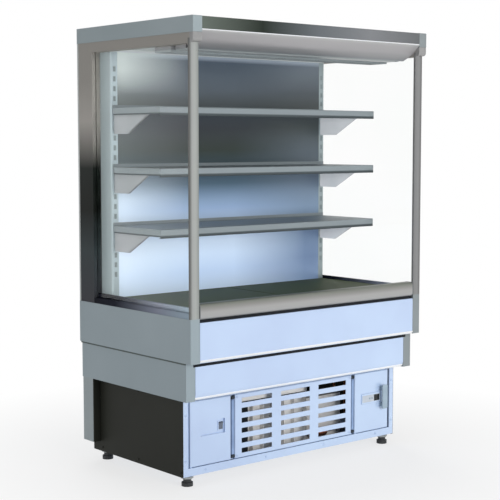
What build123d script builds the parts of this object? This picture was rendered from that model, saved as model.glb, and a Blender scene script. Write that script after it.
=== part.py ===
"""Open-front refrigerated display case, in millimetres.

X runs from the left side to the right, the open front faces -Y and Z is up. The origin is on the
floor under the middle of the case.
"""

import os

from build123d import *

# Overall size
CASE_W = 1330.0
CASE_D = 830.0
CASE_H = 1900.0

# Heights, from the floor up and from the top down
FOOT_H = 45.0
BASE_H = 327.0
LOWER_H = 160.0
UPPER_H = 180.0
CANOPY_H = 64.0
RAIL_H = 42.0

# Steps of the front and of the sides, each measured from the step above it
TIER_SETBACK = 22.0
LOWER_SETBACK = 46.0
BASE_SETBACK = 71.0
LOWER_INSET = 11.0
BASE_INSET = 37.0

# Walls and sheet
END_T = 45.0
TUB_WALL = 45.0
TUB_FLOOR = 68.0
REAR_T = 70.0
ROOF_T = 30.0
SHEET = 1.5
FRAME_T = 2.5
BEND_R = 3.0
EDGE_R = 4.0
ROOF_RECESS = 4.0
REAR_RECESS = 4.0
FRAME_RECESS = 2.0
COVER_RECESS = 3.0

# Clearances
REST_GAP = 0.3
PANEL_GAP = 2.0
RUN_GAP = 0.05
GLASS_GAP = 0.5
PIPE_GAP = 0.5

# Air duct, uprights and shelves
DUCT_D = 133.0
UPRIGHT_W = 30.0
UPRIGHT_T = 2.0
UPRIGHT_DROP = 22.0
SLOT_W = 14.0
SLOT_H = 22.0
SLOT_PITCH = 42.0
SLOT_FIRST = 128.0
SHELF_SLOTS = (4, 10, 16)
SHELF_RISE = 43.0
SHELF_D = 342.0
SHELF_BAND = 36.0
SHELF_SIDE = 30.0
SHELF_BACKSTOP = 14.0
SHELF_RETURN = 12.0
BRACKET_W = 10.0
BRACKET_T = 2.0
BRACKET_H = 110.0
BRACKET_REACH = 276.0
BRACKET_FOOT = 102.0
BRACKET_NOSE = 14.0
HOOK_GRIP = 8.0
HOOK_REACH = 8.0
HOOK_TOP = 7.0

# Glass sides
GLASS_T = 6.0
GLASS_BITE = 8.0
SEAT_BITE = 10.0
POST_D = 12.0
POST_CAP = 22.0
PILLAR_D = 115.0

# Canopy
FASCIA_T = 12.0
FASCIA_H = 49.0
VISOR_EDGE = 7.0
VISOR_D = 102.0
VISOR_DROP = 67.0
VISOR_BOW = 7.0
LAMP_SPAN = 100.0
LAMP_RISE = 23.0
LAMP_H = 12.0
LAMP_INSET = 20.0
LAMP_MARGIN = 6.0
TUBE_H = 11.0
OUTLET_D = 107.0
OUTLET_H = 35.0
OUTLET_WALL = 3.0
OUTLET_VANES = 5
OUTLET_RIBS = 3
CEILING_LAP = 7.0
CEILING_FLANGE = 12.0

# Front of the tub
PANEL_TOP = 154.0
UPPER_ROLL = 12.0
LOWER_ROLL = 28.0
LIP_D = 43.0
LIP_H = 63.0
LIP_GAP = 19.5
LIP_ROUND = 14.0
LIP_STEM = 27.0

# Deck
DECK_RISE = 28.0
DECK_FLANGE = 20.0
RETURN_D = 90.0
RETURN_SLOT_W = 12.0
RETURN_SLOT_L = 56.0
RETURN_SLOTS = 34
DECK_LEDGE = 22.0

# Evaporator and its fans
FAN_PLATE_SETBACK = 36.0
FAN_FLANGE = 42.0
EVAP_FAN_D = 200.0
EVAP_FAN_X = 280.0
EVAP_FAN_RISE = 140.0
TIP_GAP = 7.0
EVAP_L = 960.0
EVAP_D = 210.0
EVAP_H = 205.0
EVAP_Y = 22.0
FIN_MARGIN = 20.0
CORE_T = 16.0
FIN_T = 2.0
FIN_PITCH = 60.0
PLATE_T = 2.0
TUBE_D = 12.0
TUBE_OUT = 14.0
ROW_SPACE = 72.0

# Fan rotors and motors
BLADES = 5
BLADE_T = 2.0
BLADE_ANGLE = 32.0
HUB_L = 30.0
SHAFT_D = 8.0
MOTOR_D = 92.0
MOTOR_L = 52.0
MOTOR_SIDES = 16

# Machine base
FRONT_POST = 24.5
RAIL_LOW = 33.0
RAIL_TOP = 15.0
RAIL_LEG = 26.0
MULLION_W = 28.0
MULLION_X = 349.0
DOOR_SIDE = 10.0
DOOR_D = 16.0
DOOR_CLEAR = 2.0
HINGE_IN = 8.0
PIN_D = 6.0
PIN_L = 14.0
SIDE_FLANGE = 15.0
BASE_REAR = 30.0
GRILLE_LAP = 8.0
GRILLE_SLOT_W = 170.0
GRILLE_SLOT_H = 21.0
GRILLE_COLUMN = 222.0
GRILLE_ROW = 43.0
COVER_LIFT = 43.0
COVER_D = 83.0
VENT_W = 240.0
VENT_H = 12.0
FOOT_INSET = 43.0
FOOT_FRONT = 30.0
FOOT_REAR = 45.0
FOOT_D = 48.0
FOOT_NECK = 34.0
FOOT_PUCK = 16.0
FOOT_SIDES = 20

# Switch, control strip and pull on the doors
RECESS_SHIFT = 11.0
RECESS_W = 132.0
RECESS_H = 64.0
RECESS_D = 10.0
SWITCH_INSET = 18.5
SWITCH_W = 26.0
SWITCH_H = 36.0
SWITCH_RIM = 2.5
SWITCH_L = 26.0
ROCKER_TILT = 8.0
ROCKER_PIVOT = 7.0
STRIP_INSET = 99.5
STRIP_W = 117.0
STRIP_H = 48.0
STRIP_T = 5.0
STRIP_BODY_W = 72.0
STRIP_BODY_H = 30.0
STRIP_BODY_L = 55.0
PULL_INSET = 41.0
PULL_W = 34.0
PULL_L = 112.0
PULL_T = 5.0
PULL_OUT = 24.0
CONTROL_DROP = 122.0

# Cooling machine
COND_X = -90.0
COND_W = 380.0
COND_H = 262.0
COND_D = 60.0
COND_SETBACK = 41.0
SHROUD_D = 45.0
SHROUD_RIM = 10.0
COND_FAN_D = 250.0
COMP_X = 330.0
COMP_R = 86.0
COMP_H = 240.0
COMP_DOME = 42.0
COMP_SEAM = 6.0
COMP_SEAM_Z = 90.0
COMP_LIFT = 20.0
COMP_FOOT = 75.0
COMP_STUB = 14.0
COMP_SIDES = 24
SUCTION_RISE = 124.0
PIPE_D = 12.0
PIPE_BEND = 20.0
PIPE_SIDES = 10
DRIER_D = 40.0
DRIER_L = 110.0
LIQUID_INSET = 69.0
SUCTION_INSET = 37.0
PAN_X = -430.0
PAN_Y = 220.0
PAN_W = 260.0
PAN_D = 260.0
PAN_H = 60.0
DRAIN_D = 32.0
DRAIN_BORE = 26.0
DRAIN_FLANGE = 52.0
BOX_X = -490.0
BOX_Y = -120.0
BOX_W = 150.0
BOX_D = 110.0
BOX_H = 190.0

# Planes and levels worked out from the sizes above
half_w = CASE_W / 2
inner_x = half_w - END_T
lower_x = half_w - LOWER_INSET
lower_in_x = inner_x - LOWER_INSET
base_x = lower_x - BASE_INSET
front_y = -CASE_D / 2
rear_y = CASE_D / 2
tier_y = front_y + TIER_SETBACK
lower_y = tier_y + LOWER_SETBACK
base_y = lower_y + BASE_SETBACK
rear_in_y = rear_y - REAR_T
back_y = rear_y - REAR_RECESS
duct_y = rear_in_y - DUCT_D
base_rear_y = rear_y - BASE_REAR
base_top = FOOT_H + BASE_H
step_z = base_top + LOWER_H
tier_top = step_z + UPPER_H
canopy_z = CASE_H - CANOPY_H
rail_z = canopy_z - RAIL_H
roof_z = CASE_H - ROOF_T
tub_floor_z = base_top + TUB_FLOOR
wall_top_z = step_z + PANEL_TOP
panel_top_z = wall_top_z + SHEET
lip_z = panel_top_z + LIP_GAP
deck_z = tier_top + DECK_RISE
deck_seat_z = deck_z - DECK_FLANGE
floor_z = FOOT_H + FRAME_T
door_low = FOOT_H + RAIL_LOW + DOOR_CLEAR
door_top = base_top - RAIL_TOP - DOOR_CLEAR
fascia_z = CASE_H - FASCIA_H - 1
visor_low_z = fascia_z - VISOR_EDGE - VISOR_DROP
visor_rear_y = front_y + 1 + VISOR_D
lamp_z = visor_low_z + LAMP_RISE
outlet_y = visor_rear_y + LAMP_SPAN
outlet_z = lamp_z - OUTLET_H + EDGE_R + BEND_R
ceiling_z = outlet_z + OUTLET_H
glass_x = inner_x + END_T / 2
slot_count = int((ceiling_z - tier_top - SLOT_FIRST) / SLOT_PITCH) - 1
slot_zs = [tier_top + SLOT_FIRST + SLOT_PITCH * k for k in range(slot_count)]
shelf_tops = [slot_zs[k] + SHELF_RISE for k in SHELF_SLOTS]
grille_front_y = tier_y + LIP_D + PANEL_GAP
grille_rear_y = grille_front_y + RETURN_D
tray_front_y = grille_rear_y + PANEL_GAP
tray_rear_y = duct_y - PANEL_GAP - 1
fan_z = tub_floor_z + EVAP_FAN_RISE
fan_plate_y = grille_rear_y + FAN_PLATE_SETBACK
liquid_y = EVAP_Y - EVAP_D / 4
suction_y = EVAP_Y + EVAP_D / 4
liquid_x = lower_in_x - LIQUID_INSET
suction_x = lower_in_x - SUCTION_INSET
hinge_y = base_y + DOOR_D / 2
chassis_x = base_x - SHEET
opening_x = chassis_x - FRONT_POST
door_in = MULLION_X + MULLION_W / 2 + PANEL_GAP
door_out = opening_x - DOOR_SIDE
grille_x = MULLION_X - MULLION_W / 2 + GRILLE_LAP
hinge_xs = (-door_out + HINGE_IN, door_in + HINGE_IN)
recess_x = RECESS_SHIFT - (door_in + door_out) / 2
switch_x = recess_x + RECESS_W / 2 - SWITCH_INSET
strip_x = door_in + STRIP_INSET
pull_x = door_out - PULL_INSET
control_z = door_top - CONTROL_DROP

SIDES = (("left", -1), ("right", 1))
BOTTOM = (Align.CENTER, Align.CENTER, Align.MIN)
TOP = (Align.CENTER, Align.CENTER, Align.MAX)
FROM_FRONT = (Align.CENTER, Align.MIN, Align.MIN)

os.makedirs("parts", exist_ok=True)


def save(piece, name):
    """Label a finished piece and write it to its own file."""
    piece.part.label = name
    export_step(piece.part, f"parts/{name}.step")


def side_plane(sign, x):
    """Plane across the case at a distance from its middle, facing out on the given side."""
    return Plane(origin=(sign * x, 0, 0), x_dir=(0, 1, 0), z_dir=(sign, 0, 0))


def side_points(sign, points):
    """Depth and height pairs in the axes of side_plane, whose own height runs with the sign."""
    return [(y, sign * z) for y, z in points]


# Base: four levelling feet, each a puck with a narrower neck
with BuildPart() as feet:
    foot_ys = (base_y + FOOT_FRONT, base_rear_y - FOOT_REAR)
    foot_spots = [(sign * (base_x - FOOT_INSET), y) for _, sign in SIDES for y in foot_ys]
    for across, height in ((FOOT_D, FOOT_PUCK), (FOOT_NECK, FOOT_H)):
        with BuildSketch(Plane.XY):
            with Locations(*foot_spots):
                RegularPolygon(across / 2, FOOT_SIDES)
        extrude(amount=height)
save(feet, "feet")

# Base chassis: floor pan, front and rear portals, top rails, mullions and the hinge pins
opening_h = BASE_H - RAIL_LOW - RAIL_TOP
opening_w = 2 * opening_x
with BuildPart() as base_chassis:
    with BuildSketch(Plane.XZ.offset(-base_rear_y)):
        with BuildLine():
            Polyline(
                (-chassis_x, FOOT_H + RAIL_LOW),
                (-chassis_x, FOOT_H),
                (chassis_x, FOOT_H),
                (chassis_x, FOOT_H + RAIL_LOW),
            )
            offset(amount=FRAME_T, side=Side.LEFT, kind=Kind.INTERSECTION)
        make_face()
    extrude(amount=base_rear_y - base_y)
    for portal_y in (base_y, base_rear_y - FRAME_T):
        with BuildSketch(Plane.XZ.offset(-portal_y)):
            with Locations((0, FOOT_H + BASE_H / 2)):
                Rectangle(2 * chassis_x, BASE_H)
            with Locations((0, FOOT_H + RAIL_LOW + opening_h / 2)):
                Rectangle(opening_w, opening_h, mode=Mode.SUBTRACT)
        extrude(amount=-FRAME_T)
    with Locations((0, base_y, FOOT_H + RAIL_LOW - FRAME_T), (0, base_y, base_top - RAIL_TOP)):
        Box(opening_w, RAIL_LEG, FRAME_T, align=FROM_FRONT)
    leg_x = chassis_x - FRAME_T / 2
    for leg_y in (base_y, base_rear_y - RAIL_LEG):
        with Locations((-leg_x, leg_y, FOOT_H), (leg_x, leg_y, FOOT_H)):
            Box(FRAME_T, RAIL_LEG, BASE_H, align=FROM_FRONT)
    rail_x = chassis_x - RAIL_LEG / 2
    with Locations((-rail_x, base_y, base_top - FRAME_T), (rail_x, base_y, base_top - FRAME_T)):
        Box(RAIL_LEG, base_rear_y - base_y, FRAME_T, align=FROM_FRONT)
    with Locations(*[(sign * MULLION_X, base_y + DOOR_D, FOOT_H + RAIL_LOW) for _, sign in SIDES]):
        Box(MULLION_W, FRAME_T, opening_h, align=FROM_FRONT)
    with Locations(*[(x, hinge_y, FOOT_H + RAIL_LOW) for x in hinge_xs]):
        Cylinder(PIN_D, DOOR_CLEAR - REST_GAP, align=BOTTOM)
        Cylinder(PIN_D / 2, PIN_L, align=BOTTOM)
    with Locations(*[(x, hinge_y, base_top - RAIL_TOP - PIN_L) for x in hinge_xs]):
        Cylinder(PIN_D / 2, PIN_L, align=BOTTOM)
save(base_chassis, "base_chassis")

# Dark side sheets of the base, each folded under the floor pan
for side, sign in SIDES:
    with BuildPart() as base_side:
        with BuildSketch(Plane.XZ.offset(-base_rear_y)):
            with BuildLine():
                Polyline(
                    (sign * base_x, base_top),
                    (sign * base_x, FOOT_H - SHEET),
                    (sign * (base_x - SIDE_FLANGE), FOOT_H - SHEET),
                )
                fold_side = Side.RIGHT if sign > 0 else Side.LEFT
                offset(amount=SHEET, side=fold_side, kind=Kind.INTERSECTION)
            make_face()
        extrude(amount=base_rear_y - base_y)
    save(base_side, f"base_side_{side}")

# Rear cover of the base: one folded sheet round both rear corners, with exhaust slots
cover_y = rear_y - COVER_D
cover_back_y = rear_y - COVER_RECESS
with BuildPart() as rear_cover:
    with BuildSketch(Plane.XY.offset(FOOT_H + COVER_LIFT)):
        with BuildLine():
            FilletPolyline(
                (-base_x, cover_y),
                (-lower_x, cover_y),
                (-lower_x, cover_back_y),
                (lower_x, cover_back_y),
                (lower_x, cover_y),
                (base_x, cover_y),
                radius=BEND_R,
            )
            offset(amount=SHEET, side=Side.RIGHT)
        make_face()
    extrude(amount=BASE_H - COVER_LIFT)
    with BuildSketch(Plane.XZ.offset(-cover_back_y)):
        with Locations((0, FOOT_H + COVER_LIFT + (BASE_H - COVER_LIFT) / 2)):
            with GridLocations(VENT_W + VENT_H * 3, GRILLE_ROW, 4, 5):
                Rectangle(VENT_W, VENT_H)
    extrude(amount=SHEET, mode=Mode.SUBTRACT)
save(rear_cover, "rear_cover")


def pan_panel(x_low, x_high):
    """Front panel of the base: a sheet with its four edges folded back."""
    with BuildPart() as pan:
        with BuildSketch(Plane.XZ.offset(-base_y)):
            with Locations(((x_low + x_high) / 2, (door_low + door_top) / 2)):
                Rectangle(x_high - x_low, door_top - door_low)
        extrude(amount=-DOOR_D)
        chamfer(pan.faces().sort_by(Axis.Y)[0].edges(), length=BEND_R)
        offset(amount=-SHEET, openings=pan.faces().sort_by(Axis.Y)[-1])
    return pan.part


def pin_holes(x):
    """Holes of one door's two hinge pins, along its hinge line."""
    with Locations((x, hinge_y, door_low)):
        Cylinder(
            PIN_D / 2 + RUN_GAP,
            door_top - door_low,
            align=BOTTOM,
            mode=Mode.SUBTRACT,
        )


# Centre grille: three columns of six air slots
grille_pan = pan_panel(-grille_x, grille_x)
with BuildPart() as grille:
    add(grille_pan)
    with BuildSketch(Plane.XZ.offset(-base_y)):
        with Locations((0, (door_low + door_top) / 2)):
            with GridLocations(GRILLE_COLUMN, GRILLE_ROW, 3, 6):
                Rectangle(GRILLE_SLOT_W, GRILLE_SLOT_H)
    extrude(amount=-SHEET - BEND_R, mode=Mode.SUBTRACT)
save(grille, "grille")

# Left door with a pressed finger recess and the cut-out of its switch
left_pan = pan_panel(-door_out, -door_in)
with BuildPart() as door_left:
    add(left_pan)
    with BuildSketch(Plane.XZ.offset(-base_y)):
        with Locations((recess_x, control_z)):
            Rectangle(RECESS_W, RECESS_H)
    extrude(amount=-RECESS_D - SHEET)
    with BuildSketch(Plane.XZ.offset(-base_y)):
        with Locations((recess_x, control_z)):
            Rectangle(RECESS_W - 2 * SHEET, RECESS_H - 2 * SHEET)
    extrude(amount=-RECESS_D, mode=Mode.SUBTRACT)
    with BuildSketch(Plane.XZ.offset(-base_y - RECESS_D)):
        with Locations((switch_x, control_z)):
            Rectangle(SWITCH_W, SWITCH_H)
    extrude(amount=-RECESS_D, mode=Mode.SUBTRACT)
    pin_holes(hinge_xs[0])
save(door_left, "door_left")

# Light switch: a rim on the recess floor and a hollow body behind it
switch_front_y = base_y + RECESS_D
with BuildPart() as light_switch:
    with BuildSketch(Plane.XZ.offset(-switch_front_y)):
        with Locations((switch_x, control_z)):
            Rectangle(SWITCH_W + 2 * SWITCH_RIM, SWITCH_H + 2 * SWITCH_RIM)
    extrude(amount=SWITCH_RIM)
    with BuildSketch(Plane.XZ.offset(-switch_front_y)):
        with Locations((switch_x, control_z)):
            Rectangle(SWITCH_W, SWITCH_H)
    extrude(amount=-SWITCH_L)
    with BuildSketch(Plane.XZ.offset(-switch_front_y + SWITCH_RIM)):
        with Locations((switch_x, control_z)):
            Rectangle(SWITCH_W - 2 * SHEET, SWITCH_H - 2 * SHEET)
    extrude(amount=-SWITCH_L, mode=Mode.SUBTRACT)
    pivot_y = switch_front_y + ROCKER_PIVOT
    with Locations(Location((switch_x, pivot_y, control_z), (0, 90, 0))):
        Cylinder(PIN_D / 2, SWITCH_W - SHEET)
save(light_switch, "light_switch")

# Rocker: a two-faced key on the switch's cross pin, at rest with its lower half pressed
key_half = SWITCH_H / 2 - SHEET - 2 * REST_GAP
key_front = ROCKER_PIVOT + SWITCH_RIM
key_width = SWITCH_W - 2 * SHEET - 4 * REST_GAP
key_depth = Vector(0, 1, 0).rotate(Axis.X, ROCKER_TILT)
key_plane = Plane(origin=(switch_x, pivot_y, control_z), x_dir=key_depth, z_dir=(1, 0, 0))
with BuildPart() as rocker:
    with BuildSketch(key_plane):
        Polygon(
            (-key_front - SHEET, key_half - SHEET),
            (-key_front + SHEET, 0),
            (-key_front - SHEET, SHEET - key_half),
            (PIN_D, -PIN_D),
            (PIN_D, PIN_D),
            align=None,
        )
        Circle(PIN_D / 2 + RUN_GAP, mode=Mode.SUBTRACT)
    extrude(amount=key_width / 2, both=True)
save(rocker, "rocker")

# Right door with the cut-out of the control strip
right_pan = pan_panel(door_in, door_out)
with BuildPart() as door_right:
    add(right_pan)
    with BuildSketch(Plane.XZ.offset(-base_y)):
        with Locations((strip_x, control_z)):
            Rectangle(STRIP_BODY_W, STRIP_BODY_H)
    extrude(amount=-SHEET, mode=Mode.SUBTRACT)
    pin_holes(hinge_xs[1])
save(door_right, "door_right")

# Control strip: a bezel on the door with its electronics behind
with BuildPart() as controller:
    with BuildSketch(Plane.XZ.offset(-base_y)):
        with Locations((strip_x, control_z)):
            RectangleRounded(STRIP_W, STRIP_H, EDGE_R)
    extrude(amount=STRIP_T)
    chamfer(controller.faces().sort_by(Axis.Y)[0].edges(), length=SHEET)
    with BuildSketch(Plane.XZ.offset(-base_y)):
        with Locations((strip_x, control_z)):
            Rectangle(STRIP_BODY_W, STRIP_BODY_H)
    extrude(amount=-STRIP_BODY_L)
save(controller, "controller")

# Door pull: a flat grip on two short legs
with BuildPart() as door_handle:
    with BuildSketch(Plane.XZ.offset(-base_y + PULL_OUT - PULL_T)) as grip_profile:
        with Locations((pull_x, control_z)):
            Rectangle(PULL_W, PULL_L)
        chamfer(grip_profile.vertices(), length=EDGE_R)
    extrude(amount=PULL_T)
    chamfer(door_handle.faces().sort_by(Axis.Y)[0].edges(), length=SHEET)
    leg_z = PULL_L / 2 - PULL_W / 2
    with BuildSketch(Plane.XZ.offset(-base_y)):
        with Locations((pull_x, control_z - leg_z), (pull_x, control_z + leg_z)):
            Rectangle(PULL_W / 2, PULL_W / 2)
    extrude(amount=PULL_OUT - PULL_T)
save(door_handle, "door_handle")

# Insulated tub: floor, rear wall and a front wall that steps out under the deck
low_front = lower_y + SHEET
up_front = tier_y + SHEET
low_back = low_front + TUB_WALL
up_back = up_front + TUB_WALL
roll_z = step_z + SHEET
low_cut = LOWER_ROLL + 2 * BEND_R
with BuildPart() as tub:
    with BuildSketch(Plane.YZ.offset(-inner_x)):
        Polygon(
            (low_front, base_top + low_cut),
            (low_front + low_cut, base_top),
            (rear_y, base_top),
            (rear_y, tier_top),
            (rear_in_y, tier_top),
            (rear_in_y, tub_floor_z),
            (low_back, tub_floor_z),
            (low_back, step_z),
            (up_back, step_z + TUB_WALL),
            (up_back, wall_top_z),
            (up_front + BEND_R, wall_top_z),
            (up_front, wall_top_z - BEND_R),
            (up_front, roll_z + UPPER_ROLL),
            (up_front + UPPER_ROLL, roll_z),
            (low_front, roll_z),
            align=None,
        )
    extrude(amount=2 * inner_x)
    notch_x = inner_x - LOWER_INSET / 2
    with Locations(*[(sign * notch_x, lower_y, base_top) for _, sign in SIDES]):
        Box(LOWER_INSET, rear_y - lower_y, LOWER_H, align=FROM_FRONT, mode=Mode.SUBTRACT)
    with Locations((PAN_X, PAN_Y, base_top)):
        Cylinder(DRAIN_D / 2 + PIPE_GAP, TUB_FLOOR, align=BOTTOM, mode=Mode.SUBTRACT)
    with Locations((liquid_x, liquid_y, base_top), (suction_x, suction_y, base_top)):
        Cylinder(PIPE_D / 2 + PIPE_GAP, TUB_FLOOR, align=BOTTOM, mode=Mode.SUBTRACT)
save(tub, "tub")

# End panels: upper tier with the glass groove in its top, lower tier inset beneath
for side, sign in SIDES:
    with BuildPart() as end_panel:
        with BuildSketch(Plane.XY.offset(step_z)):
            with Locations((sign * glass_x, (tier_y + rear_y) / 2)):
                Rectangle(END_T, rear_y - tier_y)
        extrude(amount=UPPER_H)
        outer = end_panel.faces().sort_by(Axis.X)[-1 if sign > 0 else 0]
        fillet(outer.edges().sort_by(Axis.Y)[0], radius=EDGE_R)
        with BuildSketch(Plane.XY.offset(base_top)):
            with Locations((sign * (lower_x - END_T / 2), (lower_y + rear_y) / 2)):
                Rectangle(END_T, rear_y - lower_y)
        extrude(amount=LOWER_H)
        groove_l = rear_y - PILLAR_D - (tier_y + POST_D) + 2 * GLASS_BITE
        with Locations((sign * glass_x, tier_y + POST_D - GLASS_BITE, tier_top - SEAT_BITE)):
            Box(
                GLASS_T + 2 * GLASS_GAP,
                groove_l,
                SEAT_BITE,
                align=FROM_FRONT,
                mode=Mode.SUBTRACT,
            )
    save(end_panel, f"end_panel_{side}")

# Front panels of the tub: sheets with a rolled lower edge
panel_x = inner_x - PANEL_GAP
with BuildPart() as front_panel_upper:
    with BuildSketch(Plane.YZ.offset(-panel_x)):
        with BuildLine():
            FilletPolyline(
                (tier_y + LIP_D - EDGE_R, panel_top_z),
                (tier_y, panel_top_z),
                (tier_y, step_z),
                (low_front, step_z),
                radius=(BEND_R, UPPER_ROLL),
            )
            offset(amount=SHEET, side=Side.LEFT)
        make_face()
    extrude(amount=2 * panel_x)
save(front_panel_upper, "front_panel_upper")

lower_panel_x = lower_in_x - PANEL_GAP
with BuildPart() as front_panel_lower:
    with BuildSketch(Plane.YZ.offset(-lower_panel_x)):
        with BuildLine():
            FilletPolyline(
                (lower_y, step_z),
                (lower_y, base_top),
                (lower_y + LOWER_ROLL + BEND_R, base_top),
                radius=LOWER_ROLL,
            )
            offset(amount=SHEET, side=Side.LEFT)
        make_face()
    extrude(amount=2 * lower_panel_x)
save(front_panel_lower, "front_panel_lower")

# Bumper lip on the tub's front wall, standing on a set-back stem
with BuildPart() as lip:
    with BuildSketch(Plane.YZ.offset(-panel_x)) as lip_profile:
        with Locations((tier_y + LIP_D / 2, lip_z + LIP_H / 2)):
            Rectangle(LIP_D, LIP_H)
        fillet(lip_profile.vertices().group_by(Axis.X)[0], radius=LIP_ROUND)
        fillet(lip_profile.vertices().group_by(Axis.X)[-1].sort_by(Axis.Y)[-1], radius=EDGE_R)
        with Locations((tier_y + LIP_D - EDGE_R - LIP_STEM / 2, lip_z - LIP_GAP / 2)):
            Rectangle(LIP_STEM, LIP_GAP)
    extrude(amount=2 * panel_x)
save(lip, "lip")

# Return air grille behind the lip, folded down to its seats
with BuildPart() as return_grille:
    with BuildSketch(Plane.YZ.offset(-panel_x)):
        with BuildLine():
            Polyline(
                (grille_rear_y, deck_seat_z),
                (grille_rear_y, deck_z),
                (grille_front_y, deck_z),
                (grille_front_y, wall_top_z),
            )
            offset(amount=SHEET, side=Side.LEFT, kind=Kind.INTERSECTION)
        make_face()
    extrude(amount=2 * panel_x)
    with BuildSketch(Plane.XY.offset(deck_z)):
        with Locations((0, (grille_front_y + grille_rear_y) / 2)):
            with GridLocations(2 * panel_x / RETURN_SLOTS, 1, RETURN_SLOTS, 1):
                Rectangle(RETURN_SLOT_W, RETURN_SLOT_L)
    extrude(amount=-SHEET, mode=Mode.SUBTRACT)
save(return_grille, "return_grille")

# Deck: two lift-out trays with folded edges
tray_w = panel_x - 2 * PANEL_GAP
for side, sign in SIDES:
    with BuildPart() as deck_tray:
        with BuildSketch(Plane.XY.offset(deck_seat_z + REST_GAP)):
            with Locations((sign * (PANEL_GAP + tray_w / 2), (tray_front_y + tray_rear_y) / 2)):
                Rectangle(tray_w, tray_rear_y - tray_front_y)
        extrude(amount=DECK_FLANGE)
        fillet(deck_tray.faces().sort_by(Axis.Z)[-1].edges(), radius=BEND_R)
        offset(amount=-SHEET, openings=deck_tray.faces().sort_by(Axis.Z)[0])
    save(deck_tray, f"deck_tray_{side}")

# Fan plate across the tub, with a foot, a top flange for the deck and two fan openings
plate_x = lower_in_x - 1
with BuildPart() as fan_plate:
    with BuildSketch(Plane.YZ.offset(-plate_x)):
        with BuildLine():
            Polyline(
                (fan_plate_y + FAN_FLANGE, tub_floor_z),
                (fan_plate_y, tub_floor_z),
                (fan_plate_y, deck_seat_z - SHEET),
                (fan_plate_y - FAN_FLANGE, deck_seat_z - SHEET),
            )
            offset(amount=SHEET, side=Side.RIGHT, kind=Kind.INTERSECTION)
        make_face()
    extrude(amount=2 * plate_x)
    with Locations(*[Location((s * EVAP_FAN_X, fan_plate_y, fan_z), (90, 0, 0)) for _, s in SIDES]):
        Cylinder(EVAP_FAN_D / 2 + TIP_GAP, 4 * SHEET, mode=Mode.SUBTRACT)
save(fan_plate, "fan_plate")


def fan_rotor(x, y, z, diameter):
    """Axial fan: a bored hub with pitched, curved blades, turning about Y."""
    hub_r = diameter * 0.16
    blade_l = diameter / 2 - hub_r
    rotor_plane = Plane(origin=(x, y, z), x_dir=(1, 0, 0), z_dir=(0, -1, 0))
    with BuildPart(rotor_plane) as rotor:
        with BuildSketch(rotor_plane):
            RegularPolygon(hub_r, 3 * BLADES)
        extrude(amount=HUB_L / 2, both=True)
        with PolarLocations(hub_r + blade_l / 2 - BLADE_T, BLADES):
            Box(blade_l + 2 * BLADE_T, blade_l * 0.9, BLADE_T, rotation=(BLADE_ANGLE, 0, 0))
        Cylinder(SHAFT_D / 2 + RUN_GAP, HUB_L, mode=Mode.SUBTRACT)
        with BuildSketch(rotor_plane):
            Circle(diameter / 2)
        extrude(amount=diameter, both=True, mode=Mode.INTERSECT)
    return rotor


def fan_motor(x, y, z, diameter, mount_r, mount_y):
    """Motor behind a fan: body, shaft through the hub and three arms to the sheet in front."""
    motor_y = y + HUB_L / 2 + EDGE_R
    arm_t = 2 * BLADE_T
    motor_plane = Plane(origin=(x, motor_y, z), x_dir=(1, 0, 0), z_dir=(0, 1, 0))
    with BuildPart(motor_plane) as motor:
        with BuildSketch(motor_plane):
            RegularPolygon(diameter / 2, MOTOR_SIDES)
        extrude(amount=MOTOR_L)
        with Locations((0, 0, -HUB_L - EDGE_R)):
            Cylinder(SHAFT_D / 2, HUB_L + 2 * EDGE_R, align=BOTTOM)
        with PolarLocations(mount_r / 2, 3):
            with Locations((0, 0, 2 * EDGE_R)):
                Box(mount_r + 2 * arm_t, 3 * arm_t, arm_t)
        with PolarLocations(mount_r, 3):
            with Locations((0, 0, 2 * EDGE_R + arm_t / 2)):
                Box(2 * arm_t, 3 * arm_t, motor_y - mount_y + 2 * EDGE_R + arm_t / 2, align=TOP)
    return motor


# Evaporator fans: two rotors in the plate's openings and the pair of motors behind them
for side, sign in SIDES:
    save(fan_rotor(sign * EVAP_FAN_X, fan_plate_y, fan_z, EVAP_FAN_D), f"evap_fan_{side}")
evap_mount_r = EVAP_FAN_D / 2 + 3 * TIP_GAP
plate_back_y = fan_plate_y + SHEET
motor_pair = [
    fan_motor(sign * EVAP_FAN_X, fan_plate_y, fan_z, MOTOR_D, evap_mount_r, plate_back_y)
    for _, sign in SIDES
]
with BuildPart() as evap_motors:
    for motor in motor_pair:
        add(motor.part)
save(evap_motors, "evap_motors")


def row_levels(low_z, height):
    """Heights of a heat exchanger's tube rows, from the lowest up."""
    coil_h = height - 2 * FIN_MARGIN
    rows = int(coil_h / ROW_SPACE)
    return [low_z + height / 2 + (row - (rows - 1) / 2) * coil_h / rows for row in range(rows)]


def finned_coil(x, y, low_z, length, depth, height):
    """Heat exchanger along X: a finned core, end plates and two columns of tube ends."""
    coil_h = height - 2 * FIN_MARGIN
    mid_z = low_z + height / 2
    fins = int((length - FIN_PITCH) / FIN_PITCH)
    with BuildPart() as coil:
        with Locations((x, y, mid_z)):
            Box(length, CORE_T, coil_h)
            with GridLocations(FIN_PITCH, 1, fins, 1):
                Box(FIN_T, depth, coil_h)
        with Locations((x - length / 2, y, mid_z), (x + length / 2, y, mid_z)):
            Box(PLATE_T, depth, height)
        with BuildSketch(Plane.YZ.offset(x + (length + PLATE_T) / 2)):
            for row_z in row_levels(low_z, height):
                with Locations((y - depth / 4, row_z), (y + depth / 4, row_z)):
                    RegularPolygon(TUBE_D / 2, PIPE_SIDES)
        extrude(amount=TUBE_OUT)
    return coil


evap_low_z = tub_floor_z
save(finned_coil(0, EVAP_Y, evap_low_z, EVAP_L, EVAP_D, EVAP_H), "evaporator")

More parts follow.
